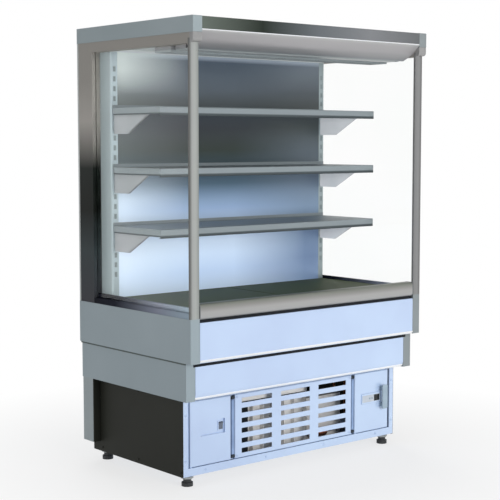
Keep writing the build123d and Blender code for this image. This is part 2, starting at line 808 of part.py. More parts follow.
# Drain from the tub's floor down to the drip pan
pan_top_z = floor_z + PAN_H
with BuildPart() as drain_pipe:
    with Locations((PAN_X, PAN_Y, tub_floor_z)):
        Cylinder(DRAIN_FLANGE / 2, SHEET, align=BOTTOM)
    with Locations((PAN_X, PAN_Y, pan_top_z - 2 * EDGE_R)):
        Cylinder(DRAIN_D / 2, tub_floor_z - pan_top_z + 2 * EDGE_R, align=BOTTOM)
        Cylinder(
            DRAIN_BORE / 2,
            tub_floor_z - pan_top_z + 2 * EDGE_R + SHEET,
            align=BOTTOM,
            mode=Mode.SUBTRACT,
        )
save(drain_pipe, "drain_pipe")

with BuildPart() as drip_pan:
    with Locations((PAN_X, PAN_Y, floor_z)):
        Box(PAN_W, PAN_D, PAN_H, align=BOTTOM)
    chamfer(drip_pan.edges().filter_by(Axis.Z), length=2 * EDGE_R)
    offset(amount=-PLATE_T, openings=drip_pan.faces().sort_by(Axis.Z)[-1])
save(drip_pan, "drip_pan")

# Outer rear wall, standing on the tub
with BuildPart() as rear_wall:
    with BuildSketch(Plane.XY.offset(tier_top)):
        with Locations((0, (rear_in_y + back_y) / 2)):
            Rectangle(2 * inner_x, back_y - rear_in_y)
    extrude(amount=roof_z - tier_top)
save(rear_wall, "rear_wall")

# Slotted uprights: deep channels that also close the sides of the air duct
upright_in_x = inner_x - UPRIGHT_W
upright_x = inner_x - UPRIGHT_W / 2
for side, sign in SIDES:
    with BuildPart() as upright:
        with BuildSketch(Plane.XY.offset(tier_top - UPRIGHT_DROP)):
            with BuildLine():
                Polyline(
                    (sign * upright_in_x, rear_in_y),
                    (sign * upright_in_x, duct_y),
                    (sign * inner_x, duct_y),
                    (sign * inner_x, rear_in_y),
                )
                offset(
                    amount=UPRIGHT_T,
                    side=Side.LEFT if sign > 0 else Side.RIGHT,
                    kind=Kind.INTERSECTION,
                )
            make_face()
        extrude(amount=ceiling_z - tier_top + UPRIGHT_DROP)
        with BuildSketch(Plane.XZ.offset(-duct_y)):
            with Locations(*[(sign * upright_x, z) for z in slot_zs]):
                Rectangle(SLOT_W, SLOT_H)
        extrude(amount=-UPRIGHT_T, mode=Mode.SUBTRACT)
    save(upright, f"upright_{side}")

# Back panel between the uprights, with a ledge for the deck
back_x = upright_in_x - REST_GAP
with BuildPart() as back_panel:
    with BuildSketch(Plane.XY.offset(deck_seat_z - SHEET)):
        with BuildLine():
            Polyline(
                (-back_x, duct_y + DECK_FLANGE),
                (-back_x, duct_y),
                (back_x, duct_y),
                (back_x, duct_y + DECK_FLANGE),
            )
            offset(amount=SHEET, side=Side.LEFT, kind=Kind.INTERSECTION)
        make_face()
    extrude(amount=ceiling_z - deck_seat_z + SHEET)
    with Locations((0, duct_y - DECK_LEDGE, deck_seat_z - SHEET)):
        Box(2 * back_x, DECK_LEDGE, SHEET, align=FROM_FRONT)
save(back_panel, "back_panel")

# Shelves: folded trays with a deep front band, shallow sides and a backstop
shelf_x = panel_x
shelf_rear_y = duct_y - PANEL_GAP - SHEET
shelf_front_y = shelf_rear_y - SHELF_D
for number, top in enumerate(reversed(shelf_tops), start=1):
    with BuildPart() as shelf:
        with BuildSketch(Plane.YZ.offset(-shelf_x)):
            with BuildLine():
                FilletPolyline(
                    (shelf_rear_y, top + SHELF_BACKSTOP),
                    (shelf_rear_y, top),
                    (shelf_front_y, top),
                    (shelf_front_y, top - SHELF_BAND),
                    (shelf_front_y + SHELF_RETURN, top - SHELF_BAND),
                    radius=BEND_R,
                )
                offset(amount=SHEET, side=Side.LEFT)
            make_face()
        extrude(amount=2 * shelf_x)
        cheek_x = shelf_x - SHEET / 2
        with Locations(*[(s * cheek_x, shelf_front_y + SHEET, top - SHELF_SIDE) for _, s in SIDES]):
            Box(SHEET, SHELF_D - 2 * SHEET - BEND_R, SHELF_SIDE - SHEET, align=FROM_FRONT)
    save(shelf, f"shelf_{number}")

# Cantilever brackets: two cheeks joined along the top, hooked into two slots each
bracket_tip_y = duct_y - BRACKET_REACH
foot_y = duct_y - BRACKET_FOOT
web_y = duct_y + UPRIGHT_T + REST_GAP
bracket_x = upright_x - BRACKET_W / 2
for side, sign in SIDES:
    with BuildPart() as brackets:
        for shelf_slot, top in zip(SHELF_SLOTS, shelf_tops):
            seat_z = top - SHEET - REST_GAP
            with BuildSketch(side_plane(sign, bracket_x)):
                Polygon(
                    *side_points(sign, (
                        (duct_y, seat_z),
                        (bracket_tip_y, seat_z),
                        (bracket_tip_y, top - BRACKET_NOSE),
                        (foot_y, top - BRACKET_H),
                        (duct_y, top - BRACKET_H),
                    )),
                    align=None,
                )
                for slot_z in (slot_zs[shelf_slot], slot_zs[shelf_slot - 1]):
                    rest_z = slot_z - SLOT_H / 2
                    Polygon(
                        *side_points(sign, (
                            (duct_y, slot_z + HOOK_TOP),
                            (duct_y + HOOK_REACH, slot_z + HOOK_TOP),
                            (duct_y + HOOK_REACH, rest_z - HOOK_GRIP),
                            (web_y, rest_z - HOOK_GRIP),
                            (web_y, rest_z),
                            (duct_y, rest_z),
                        )),
                        align=None,
                    )
            extrude(amount=BRACKET_W)
            with Locations((sign * upright_x, bracket_tip_y, seat_z - BRACKET_T - BRACKET_H)):
                Box(
                    BRACKET_W - 2 * BRACKET_T,
                    BRACKET_REACH + 2 * HOOK_REACH,
                    BRACKET_H,
                    align=FROM_FRONT,
                    mode=Mode.SUBTRACT,
                )
    save(brackets, f"brackets_{side}")

# Side glazing: clear panes in grooves of the end panel, post, rail and pillar
groove_w = GLASS_T + 2 * GLASS_GAP
pillar_y = rear_y - PILLAR_D
pane_front_y = tier_y + POST_D - GLASS_BITE + GLASS_GAP
pane_rear_y = pillar_y + GLASS_BITE - GLASS_GAP
pane_low_z = tier_top - SEAT_BITE
pane_top_z = rail_z + GLASS_BITE
post_top_z = canopy_z - POST_CAP
for side, sign in SIDES:
    with BuildPart() as glass:
        with Locations((sign * glass_x, pane_front_y, pane_low_z)):
            Box(GLASS_T, pane_rear_y - pane_front_y, pane_top_z - pane_low_z, align=FROM_FRONT)
    save(glass, f"glass_{side}")

    with BuildPart() as post:
        with BuildSketch(Plane.XY.offset(tier_top)) as post_profile:
            with Locations((sign * glass_x, tier_y + POST_D / 2)):
                Rectangle(END_T, POST_D)
            fillet(post_profile.vertices().group_by(Axis.Y)[0], radius=EDGE_R)
            with Locations((sign * glass_x, tier_y + POST_D - GLASS_BITE / 2)):
                Rectangle(groove_w, GLASS_BITE, mode=Mode.SUBTRACT)
        extrude(amount=post_top_z - tier_top)
    save(post, f"post_{side}")

    with BuildPart() as side_frame:
        with BuildSketch(side_plane(sign, inner_x)):
            Polygon(
                *side_points(sign, (
                    (tier_y, canopy_z),
                    (rear_y, canopy_z),
                    (rear_y, tier_top),
                    (pillar_y, tier_top),
                    (pillar_y, rail_z),
                    (tier_y + POST_D, rail_z),
                    (tier_y + POST_D, post_top_z),
                    (tier_y, post_top_z),
                )),
                align=None,
            )
        extrude(amount=END_T - FRAME_RECESS)
        with Locations((sign * glass_x, tier_y + POST_D, rail_z)):
            Box(groove_w, pillar_y - tier_y - POST_D + GLASS_BITE, SEAT_BITE, align=FROM_FRONT,
                mode=Mode.SUBTRACT)
        with Locations((sign * glass_x, pillar_y, tier_top)):
            Box(groove_w, GLASS_BITE, rail_z - tier_top, align=FROM_FRONT, mode=Mode.SUBTRACT)
    save(side_frame, f"side_frame_{side}")

# Canopy: end plates, insulated roof, glossy fascia and the bowed visor under it
for side, sign in SIDES:
    with BuildPart() as canopy_end:
        with BuildSketch(side_plane(sign, inner_x)) as end_profile:
            with Locations((0, sign * (canopy_z + CANOPY_H / 2))):
                Rectangle(CASE_D, CANOPY_H)
            fillet(end_profile.vertices().group_by(Axis.X)[0], radius=EDGE_R)
        extrude(amount=END_T)
    save(canopy_end, f"canopy_end_{side}")

with BuildPart() as roof:
    with BuildSketch(Plane.XY.offset(roof_z)):
        with Locations((0, (front_y + FASCIA_T + back_y) / 2)):
            Rectangle(2 * inner_x, back_y - front_y - FASCIA_T)
    extrude(amount=ROOF_T - ROOF_RECESS)
save(roof, "roof")

with BuildPart() as fascia:
    with BuildSketch(Plane.YZ.offset(-inner_x)) as fascia_profile:
        with Locations((front_y + FASCIA_T / 2, fascia_z + FASCIA_H / 2)):
            Rectangle(FASCIA_T, FASCIA_H)
        fillet(fascia_profile.vertices().group_by(Axis.X)[0], radius=EDGE_R)
    extrude(amount=2 * inner_x)
save(fascia, "fascia")

visor_front_y = front_y + 1
visor_edge_z = fascia_z - VISOR_EDGE
visor_mid = ((visor_front_y + visor_rear_y) / 2 - VISOR_BOW,
             (visor_edge_z + visor_low_z) / 2 - VISOR_BOW)
with BuildPart() as visor:
    with BuildSketch(Plane.YZ.offset(-inner_x)):
        with BuildLine():
            FilletPolyline(
                (visor_front_y + FASCIA_T + EDGE_R, fascia_z),
                (visor_front_y, fascia_z),
                (visor_front_y, visor_edge_z),
                visor_mid,
                (visor_rear_y, visor_low_z),
                (visor_rear_y, lamp_z),
                (outlet_y, lamp_z),
                radius=(BEND_R, BEND_R, VISOR_D, BEND_R, BEND_R),
            )
            offset(amount=SHEET, side=Side.LEFT)
        make_face()
    extrude(amount=2 * inner_x)
save(visor, "visor")

# Lamp under the visor's channel: a tray with end caps and a rounded diffuser
lamp_x = inner_x - LAMP_INSET
lamp_d = LAMP_SPAN - 2 * LAMP_MARGIN
lamp_y = visor_rear_y + LAMP_SPAN / 2
tube_x = lamp_x - LAMP_H
tube_d = lamp_d - 2 * LAMP_MARGIN
with BuildPart() as lamp_housing:
    with Locations((0, lamp_y, lamp_z - LAMP_H)):
        Box(2 * lamp_x, lamp_d, LAMP_H, align=BOTTOM)
    for _, sign in SIDES:
        with Locations((sign * (lamp_x + tube_x) / 2, lamp_y, lamp_z - LAMP_H - TUBE_H)):
            Box(LAMP_H, lamp_d, TUBE_H, align=BOTTOM)
save(lamp_housing, "lamp_housing")

with BuildPart() as lamp_tube:
    with BuildSketch(Plane.YZ.offset(-tube_x)) as tube_profile:
        with Locations((lamp_y, lamp_z - LAMP_H - TUBE_H / 2)):
            Rectangle(tube_d, TUBE_H)
        fillet(tube_profile.vertices().group_by(Axis.Y)[0], radius=TUBE_H - SHEET)
    extrude(amount=2 * tube_x)
save(lamp_tube, "lamp_tube")

# Air outlet: a frame of long vanes with cross ribs, between the lamp and the ceiling
with BuildPart() as air_outlet:
    with BuildSketch(Plane.XY.offset(outlet_z)):
        with Locations((0, outlet_y + OUTLET_D / 2)):
            Rectangle(2 * inner_x, OUTLET_D)
            Rectangle(
                2 * (inner_x - OUTLET_WALL),
                OUTLET_D - 2 * OUTLET_WALL,
                mode=Mode.SUBTRACT,
            )
            with GridLocations(1, OUTLET_D / (OUTLET_VANES + 1), 1, OUTLET_VANES):
                Rectangle(2 * inner_x, SHEET)
            with GridLocations(2 * inner_x / (OUTLET_RIBS + 1), 1, OUTLET_RIBS, 1):
                Rectangle(SHEET, OUTLET_D)
    extrude(amount=OUTLET_H)
save(air_outlet, "air_outlet")

# Ceiling of the display space, with its rear edge folded down over the back panel
with BuildPart() as ceiling:
    ceiling_front_y = outlet_y + OUTLET_D - CEILING_LAP
    with BuildSketch(Plane.YZ.offset(-inner_x)):
        with BuildLine():
            Polyline(
                (ceiling_front_y, ceiling_z),
                (duct_y - SHEET, ceiling_z),
                (duct_y - SHEET, ceiling_z - CEILING_FLANGE),
            )
            offset(amount=SHEET, side=Side.LEFT, kind=Kind.INTERSECTION)
        make_face()
    extrude(amount=2 * inner_x)
    edge_x = inner_x - SHEET / 2
    with Locations(*[(s * edge_x, ceiling_front_y, ceiling_z) for _, s in SIDES]):
        Box(SHEET, duct_y - ceiling_front_y, CEILING_FLANGE, align=FROM_FRONT)
save(ceiling, "ceiling")

# Condenser behind the grille, its fan shroud, fan and motor
cond_y = base_y + COND_SETBACK + COND_D / 2
cond_back_y = cond_y + COND_D / 2
cond_fan_z = floor_z + COND_H / 2
save(finned_coil(COND_X, cond_y, floor_z, COND_W, COND_D, COND_H), "condenser")

shroud_back_y = cond_back_y + SHROUD_D
with BuildPart() as fan_shroud:
    with BuildSketch(Plane.XZ.offset(-cond_back_y)):
        with Locations((COND_X, cond_fan_z)):
            Rectangle(COND_W + PLATE_T, COND_H)
    extrude(amount=-SHROUD_D)
    offset(amount=-SHEET, openings=fan_shroud.faces().sort_by(Axis.Y)[0], kind=Kind.INTERSECTION)
    with BuildSketch(Plane.XZ.offset(-shroud_back_y)):
        with Locations((COND_X, cond_fan_z)):
            Circle(COND_FAN_D / 2 + TIP_GAP - SHEET)
            Circle(COND_FAN_D / 2 + TIP_GAP - 2 * SHEET, mode=Mode.SUBTRACT)
    extrude(amount=-SHROUD_RIM)
    with BuildSketch(Plane.XZ.offset(-shroud_back_y)):
        with Locations((COND_X, cond_fan_z)):
            Circle(COND_FAN_D / 2 + TIP_GAP - 2 * SHEET)
    extrude(amount=SHEET, mode=Mode.SUBTRACT)
save(fan_shroud, "fan_shroud")

cond_mount_r = COND_FAN_D / 2 + 2 * TIP_GAP
save(fan_rotor(COND_X, shroud_back_y, cond_fan_z, COND_FAN_D), "condenser_fan")
cond_motor = fan_motor(COND_X, shroud_back_y, cond_fan_z, MOTOR_D, cond_mount_r, shroud_back_y)
save(cond_motor, "condenser_motor")

# Compressor under the evaporator's pipe ends: a welded can on a plate with rubber mounts
can_z = floor_z + COMP_LIFT + PLATE_T
discharge_z = row_levels(floor_z, COND_H)[-1]
suction_z = can_z + SUCTION_RISE
with BuildPart() as compressor:
    with BuildSketch(Plane.XY.offset(can_z)):
        with Locations((COMP_X, suction_y)):
            RegularPolygon(COMP_R, COMP_SIDES)
    extrude(amount=COMP_H)
    chamfer(compressor.faces().filter_by(Axis.Z).edges(), length=COMP_DOME)
    with BuildSketch(Plane.XY.offset(can_z + COMP_SEAM_Z)):
        with Locations((COMP_X, suction_y)):
            RegularPolygon(COMP_R + COMP_SEAM, COMP_SIDES)
    extrude(amount=COMP_SEAM)
    with BuildSketch(Plane.XY.offset(can_z - PLATE_T)):
        with Locations((COMP_X, suction_y)):
            Rectangle(2 * COMP_FOOT + 4 * EDGE_R, 2 * COMP_FOOT + 4 * EDGE_R)
    extrude(amount=PLATE_T)
    with BuildSketch(Plane.XY.offset(floor_z)):
        with Locations((COMP_X, suction_y)):
            with GridLocations(2 * COMP_FOOT, 2 * COMP_FOOT, 2, 2):
                RegularPolygon(3 * EDGE_R, PIPE_SIDES)
    extrude(amount=COMP_LIFT)
    for stub_sign, stub_z in ((-1, discharge_z), (1, suction_z)):
        with BuildSketch(Plane.YZ.offset(COMP_X)):
            with Locations((suction_y, stub_z)):
                RegularPolygon(PIPE_D / 2, PIPE_SIDES)
        extrude(amount=stub_sign * (COMP_R + COMP_STUB))
save(compressor, "compressor")


def pipe_run(points):
    """One pipe through the given corners, each turned in two short bends."""
    bent = FilletPolyline(*points, radius=PIPE_BEND)
    stops = []
    for edge in bent.edges():
        stops.append(edge @ 0)
        if edge.geom_type == GeomType.CIRCLE:
            stops.append(edge @ 0.5)
    with BuildPart() as pipe:
        with BuildLine() as route:
            Polyline(*stops, bent @ 1)
        with BuildSketch(Plane(origin=bent @ 0, z_dir=bent % 0)):
            RegularPolygon(PIPE_D / 2, PIPE_SIDES)
        sweep(path=route.line, transition=Transition.RIGHT)
    return pipe.part


# Brazed pipework: discharge, liquid line with its filter drier, and suction
cond_stub_x = COND_X + (COND_W + PLATE_T) / 2 + TUBE_OUT
evap_stub_x = (EVAP_L + PLATE_T) / 2 + TUBE_OUT
cond_in_y = cond_y + COND_D / 4
cond_out_y = cond_y - COND_D / 4
liquid_z = row_levels(floor_z, COND_H)[0]
feed_z = row_levels(evap_low_z, EVAP_H)[0]
gas_z = row_levels(evap_low_z, EVAP_H)[-1]
comp_stub = COMP_R + COMP_STUB
riser_x = COMP_X - comp_stub - 2 * PIPE_BEND
drier_x = cond_stub_x + PIPE_BEND
discharge_pipe = pipe_run((
    (COMP_X - comp_stub, suction_y, discharge_z),
    (riser_x, suction_y, discharge_z),
    (riser_x, cond_in_y, discharge_z),
    (cond_stub_x, cond_in_y, discharge_z),
))
liquid_pipe = pipe_run((
    (cond_stub_x, cond_out_y, liquid_z),
    (liquid_x, cond_out_y, liquid_z),
    (liquid_x, liquid_y, liquid_z),
    (liquid_x, liquid_y, feed_z),
    (evap_stub_x, liquid_y, feed_z),
))
suction_pipe = pipe_run((
    (evap_stub_x, suction_y, gas_z),
    (suction_x, suction_y, gas_z),
    (suction_x, suction_y, suction_z),
    (COMP_X + comp_stub, suction_y, suction_z),
))
with BuildPart() as pipework:
    for run in (discharge_pipe, liquid_pipe, suction_pipe):
        add(run)
    with BuildSketch(Plane.XY.offset(liquid_z)):
        Polygon(
            (drier_x, cond_out_y),
            (drier_x, cond_out_y + PIPE_D / 2),
            (drier_x + DRIER_D / 2, cond_out_y + DRIER_D / 2),
            (drier_x + DRIER_L - DRIER_D / 2, cond_out_y + DRIER_D / 2),
            (drier_x + DRIER_L, cond_out_y + PIPE_D / 2),
            (drier_x + DRIER_L, cond_out_y),
            align=None,
        )
    revolve(axis=Axis((drier_x, cond_out_y, liquid_z), (1, 0, 0)))
save(pipework, "pipework")

# Electrical box on the floor pan behind the left door
with BuildPart() as electrical_box:
    with Locations((BOX_X, BOX_Y, floor_z)):
        Box(BOX_W, BOX_D, BOX_H, align=BOTTOM)
    chamfer(electrical_box.edges().filter_by(Axis.Z), length=EDGE_R)
    with BuildSketch(Plane.XZ.offset(-BOX_Y + BOX_D / 2)):
        with Locations((BOX_X, floor_z + BOX_H / 2)):
            Rectangle(BOX_W - 4 * EDGE_R, BOX_H - 4 * EDGE_R)
    extrude(amount=EDGE_R)
save(electrical_box, "electrical_box")
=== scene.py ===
"""Looks of the open-front refrigerated display case, in metres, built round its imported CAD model.

X runs to the right, the open front faces -Y and Z is up. Sections follow the case from the floor up, and
most places are worked out from the box of the CAD piece that carries the new one.
"""

import math

import bmesh
import bpy
from mathutils import Matrix, Vector


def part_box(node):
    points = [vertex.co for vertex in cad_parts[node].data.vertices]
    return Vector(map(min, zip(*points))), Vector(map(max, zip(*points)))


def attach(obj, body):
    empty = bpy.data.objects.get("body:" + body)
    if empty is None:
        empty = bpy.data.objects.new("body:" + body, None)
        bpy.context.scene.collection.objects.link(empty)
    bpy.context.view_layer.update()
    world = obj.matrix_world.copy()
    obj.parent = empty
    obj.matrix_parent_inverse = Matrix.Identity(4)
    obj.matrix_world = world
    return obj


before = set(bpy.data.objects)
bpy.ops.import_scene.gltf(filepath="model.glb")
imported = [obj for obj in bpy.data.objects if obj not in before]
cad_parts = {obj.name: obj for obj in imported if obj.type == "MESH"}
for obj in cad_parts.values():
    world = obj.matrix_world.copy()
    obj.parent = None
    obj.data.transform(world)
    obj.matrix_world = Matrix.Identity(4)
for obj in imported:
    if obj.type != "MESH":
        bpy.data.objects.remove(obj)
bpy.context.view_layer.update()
bpy.ops.object.select_all(action="DESELECT")


# Studio: a pale seamless floor that keeps the soft shadow of the case, a white surround, soft boxes in
# front, on the left and behind, two small fills that each reach one shaded piece, and the camera at the
# photographed angle.
def linear(hexcode):
    """Linear colour of an sRGB hex value."""
    parts = [int(hexcode[i:i + 2], 16) / 255 for i in (1, 3, 5)]
    parts = [c / 12.92 if c <= 0.04045 else ((c + 0.055) / 1.055) ** 2.4 for c in parts]
    return (*parts, 1.0)


def put(owner, kind, ins=None, stops=(), **settings):
    """Adds a node to a material or world with its settings, ramp stops, values and links."""
    node = owner.node_tree.nodes.new(kind)
    for name, value in settings.items():
        setattr(node, name, value)
    if stops:
        node.color_ramp.elements.remove(node.color_ramp.elements[1])
    for count, (spot, colour) in enumerate(stops):
        element = node.color_ramp.elements[0] if count == 0 else node.color_ramp.elements.new(spot)
        element.position = spot
        element.color = linear(colour)
    for name, value in (ins or {}).items():
        if isinstance(value, bpy.types.NodeSocket):
            owner.node_tree.links.new(value, node.inputs[name])
        else:
            node.inputs[name].default_value = value
    return node


def new_finish(name):
    """An empty node material."""
    finish = bpy.data.materials.new(name)
    finish.use_nodes = True
    finish.node_tree.nodes.clear()
    return finish


def seen_white(owner):
    """One for what the eye sees, straight, mirrored or through glass, and nought for light on the case."""
    path = put(owner, "ShaderNodeLightPath")
    seen = put(owner, "ShaderNodeMath", {
        0: path.outputs["Is Camera Ray"], 1: path.outputs["Is Glossy Ray"]}, operation="MAXIMUM")
    through = put(owner, "ShaderNodeMath", {
        0: seen.outputs[0], 1: path.outputs["Is Transmission Ray"]}, operation="MAXIMUM")
    return through.outputs[0]


studio = bpy.data.worlds.new("studio_surround")
studio.use_nodes = True
studio.node_tree.nodes.clear()
bpy.context.scene.world = studio
surround = put(studio, "ShaderNodeBackground", {"Color": linear("#f4f7fa"), "Strength": 0.42})
white = put(studio, "ShaderNodeBackground", {"Color": linear("#ffffff"), "Strength": 1.0})
blend = put(studio, "ShaderNodeMixShader", {
    "Fac": seen_white(studio), 1: surround.outputs[0], 2: white.outputs[0]})
put(studio, "ShaderNodeOutputWorld", {"Surface": blend.outputs[0]})

FLOOR_SIZE, FLOOR_DROP = 30, 0.0005
SHADOW_NEAR, SHADOW_FAR = 0.7, 1.9  # the shadow fades out between these distances from the middle
NEAR_WHITE = 0.7  # share of plain white in the floor beside the case
bpy.ops.mesh.primitive_plane_add(size=FLOOR_SIZE, location=(0, 0, -FLOOR_DROP))
floor = bpy.context.object
floor.name = "studio_floor"
paper = new_finish("matt_white_paper")  # keeps the shadow near the case and clears to white further out
matt = put(paper, "ShaderNodeBsdfDiffuse", {"Color": linear("#eeeeee")})
glow = put(paper, "ShaderNodeEmission", {"Color": linear("#ffffff"), "Strength": 1.0})
spot = put(paper, "ShaderNodeTexCoord")
spread = put(paper, "ShaderNodeVectorMath", {0: spot.outputs["Object"]}, operation="LENGTH")
clean = put(paper, "ShaderNodeMapRange", {
    "Value": spread.outputs["Value"], "From Min": SHADOW_NEAR, "From Max": SHADOW_FAR,
    "To Min": NEAR_WHITE, "To Max": 1.0})
share = put(paper, "ShaderNodeMath", {0: seen_white(paper), 1: clean.outputs["Result"]}, operation="MULTIPLY")
sheet = put(paper, "ShaderNodeMixShader", {"Fac": share.outputs[0], 1: matt.outputs[0], 2: glow.outputs[0]})
put(paper, "ShaderNodeOutputMaterial", {"Surface": sheet.outputs[0]})
floor.data.materials.append(paper)

for lamp_name, place, aim, size, power, tint, only in (
    ("soft_box_front", (0.3, -6.2, 1.5), (0, -0.2, 0.95), 3.0, 250, "#ffffff", None),
    ("soft_box_left", (-5.2, -0.2, 1.25), (0, 0, 1.1), 2.6, 34, "#ffffff", None),
    ("soft_box_back", (1.5, 4.5, 3.4), (0, 0, 1.0), 3.0, 110, "#ffffff", None),
    ("fill_right_brackets", (-3.2, -3.0, 1.1), (0.6, 0.1, 1.2), 1.2, 400, "#ffffff", "brackets_right"),
    ("fill_panel_foot", (-0.6, -3.4, 0.92), (-0.1, 0.2, 0.85), 0.6, 30, "#b4c2ff", "back_panel"),
):
    soft_box = bpy.data.lights.new(lamp_name, "AREA")
    soft_box.size = size
    soft_box.energy = power
    soft_box.color = linear(tint)[:3]
    stand = bpy.data.objects.new(lamp_name, soft_box)
    stand.location = place
    stand.visible_glossy = lamp_name == "soft_box_left"  # no glare in the steel panel or on the roof
    if only:
        reach = bpy.data.collections.new(f"{lamp_name}_reach")
        reach.objects.link(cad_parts[only])
        stand.light_linking.receiver_collection = reach
    stand.rotation_euler = (Vector(aim) - Vector(place)).to_track_quat("-Z", "Y").to_euler()
    bpy.context.scene.collection.objects.link(stand)

# lens, place and turn fitted to the corners of the photographed case
lens = bpy.data.cameras.new("camera")
lens.lens = 90.548
lens.sensor_width = 36
camera = bpy.data.objects.new("camera", lens)
camera.location = (-3.6500, -4.3012, 1.4130)
camera.rotation_euler = (math.radians(85.0715), 0, math.radians(-40.0953))
bpy.context.scene.collection.objects.link(camera)
bpy.context.scene.camera = camera
bpy.context.scene.view_settings.view_transform = "Standard"


# Feet: four black moulded polyamide levelling feet on threaded stems. A hexagonal zinc plated nut
# on each stem locks it under the floor pan.
def dress(finish, *names):
    """Gives CAD nodes their finish."""
    for name in names:
        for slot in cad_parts[name].material_slots:
            slot.material = finish


def coated(name, deep, pale, cloud, peel, gloss, metal=0.0, shine=0.4, clear=0.0):
    """A coated or moulded skin: a slow cloud of two close tones, a fine orange peel, an uneven gloss.

    Cloud and peel are the sizes of their spots in metres. The peel of moulded skins is drawn coarser than
    real, so that it shows.
    """
    coat = new_finish(name)
    spot = put(coat, "ShaderNodeTexCoord")
    patch = put(coat, "ShaderNodeTexNoise", {
        "Vector": spot.outputs["Object"], "Scale": 1 / cloud, "Detail": 3.0, "Roughness": 0.55})
    tone = put(coat, "ShaderNodeValToRGB", {"Fac": patch.outputs["Fac"]}, ((0.3, deep), (0.7, pale)))
    grit = put(coat, "ShaderNodeTexNoise", {
        "Vector": spot.outputs["Object"], "Scale": 1 / peel, "Detail": 1.0})
    skin = put(coat, "ShaderNodeBump", {
        "Height": grit.outputs["Fac"], "Strength": 0.06, "Distance": peel / 8})
    sheen = put(coat, "ShaderNodeMapRange", {
        "Value": patch.outputs["Fac"], "To Min": gloss - 0.05, "To Max": gloss + 0.07})
    shell = put(coat, "ShaderNodeBsdfPrincipled", {
        "Base Color": tone.outputs["Color"], "Metallic": metal, "Roughness": sheen.outputs["Result"],
        "Specular IOR Level": shine, "Coat Weight": clear, "Coat Roughness": 0.08,
        "Normal": skin.outputs["Normal"]})
    put(coat, "ShaderNodeOutputMaterial", {"Surface": shell.outputs[0]})
    return coat


def begin(name):
    """Names the primitive just added, applies its place and opens it with nothing selected."""
    piece = bpy.context.object
    piece.name = piece.data.name = name
    bpy.ops.object.transform_apply(location=True, rotation=True, scale=True)
    bpy.ops.object.mode_set(mode="EDIT")
    bpy.ops.mesh.select_all(action="DESELECT")
    return piece


def pick(piece, kind, test):
    """Selects the faces, or edges, whose middle and direction pass a test."""
    bpy.ops.mesh.select_mode(type="FACE" if kind == "faces" else "EDGE")
    bpy.ops.mesh.select_all(action="DESELECT")
    shape = bmesh.from_edit_mesh(piece.data)
    for part in getattr(shape, kind):
        if kind == "faces":
            found = test(part.calc_center_median(), part.normal)
        else:
            ends = [corner.co for corner in part.verts]
            found = test((ends[0] + ends[1]) / 2, (ends[1] - ends[0]).normalized())
        if found:
            part.select_set(True)
    bmesh.update_edit_mesh(piece.data)


def round_off(piece, radius, steps, test):
    """Rounds the edges that pass a test."""
    pick(piece, "edges", test)
    bpy.ops.mesh.bevel(offset=radius, segments=steps, affect="EDGES")


def settle(piece, finish, body="case"):
    """Ends a piece: outward faces, finish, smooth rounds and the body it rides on."""
    bpy.ops.mesh.select_all(action="SELECT")
    bpy.ops.mesh.normals_make_consistent(inside=False)
    bpy.ops.object.mode_set(mode="OBJECT")
    piece.data.materials.clear()
    piece.data.materials.append(finish)
    bpy.ops.object.shade_smooth_by_angle(angle=math.radians(35))
    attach(piece, body)


def set_of(pattern, name, places, body="case", finish=None):
    """Copies of a finished pattern, each with its own mesh, put in their places and joined."""
    bpy.ops.object.select_all(action="DESELECT")
    for place in places:
        twin = pattern.copy()
        twin.parent = None
        twin.data = pattern.data.copy()
        twin.data.transform(place)
        bpy.context.scene.collection.objects.link(twin)
        twin.select_set(True)
        bpy.context.view_layer.objects.active = twin
    if len(places) > 1:
        bpy.ops.object.join()
    group = bpy.context.view_layer.objects.active
    group.name = group.data.name = name
    if finish:
        group.data.materials[0] = finish
    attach(group, body)
    return group


# dull, nearly black, with a faint moulded grain
polyamide = coated("moulded_black_polyamide", "#26282a", "#3a3c3d", cloud=0.025, peel=0.0012, gloss=0.55)
dress(polyamide, "feet")

# dull silver, cloudy
plated = coated("zinc_plated_steel", "#8d9294", "#a9adae", cloud=0.012, peel=0.002, gloss=0.32, metal=0.9)
NUT_R, NUT_H, NUT_WALL, NUT_Z = 0.026, 0.010, 0.005, 0.036
FOOT_HALF = 0.024
feet_low, feet_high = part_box("feet")
bpy.ops.object.select_all(action="DESELECT")
bpy.ops.mesh.primitive_cylinder_add(vertices=6, radius=NUT_R, depth=NUT_H, location=(0, 0, NUT_Z))
nut = begin("foot_nut")
pick(nut, "faces", lambda middle, normal: abs(normal.z) > 0.9)
bpy.ops.mesh.inset(thickness=NUT_WALL, use_individual=True)
bpy.ops.mesh.bridge_edge_loops()
round_off(nut, 0.0014, 2, lambda middle, way: abs(middle.z - NUT_Z) > 0.49 * NUT_H
          and middle.xy.length > NUT_R - NUT_WALL)
settle(nut, plated)
set_of(nut, "foot_nuts", [
    Matrix.Translation((x, y, 0)) for x in (feet_low.x + FOOT_HALF, feet_high.x - FOOT_HALF)
    for y in (feet_low.y + FOOT_HALF, feet_high.y - FOOT_HALF)])
bpy.data.objects.remove(nut)


# Base frame, doors and grille: cold formed steel sheet. Hinge pins carry the doors, and the grille is
# screwed to the frame. The coat is an even pale blue under a clear gloss, slightly deeper in wide patches.
blue_coat = coated("pale_blue_coated_steel", "#b6c8e6", "#c2d6f1",
                   cloud=0.55, peel=0.004, gloss=0.34, metal=0.2, clear=1.0)
dress(blue_coat, "base_chassis", "door_left", "door_right", "grille")

# Side sheets of the base: coated steel, folded under the floor pan and screwed to the frame. The coat is
# a dull brown-black that hardly mirrors the room.
dark_coat = coated("dark_coated_steel", "#23241f", "#2c2d28", cloud=0.4, peel=0.004, gloss=0.5, shine=0.12)
dress(dark_coat, "base_side_left", "base_side_right")


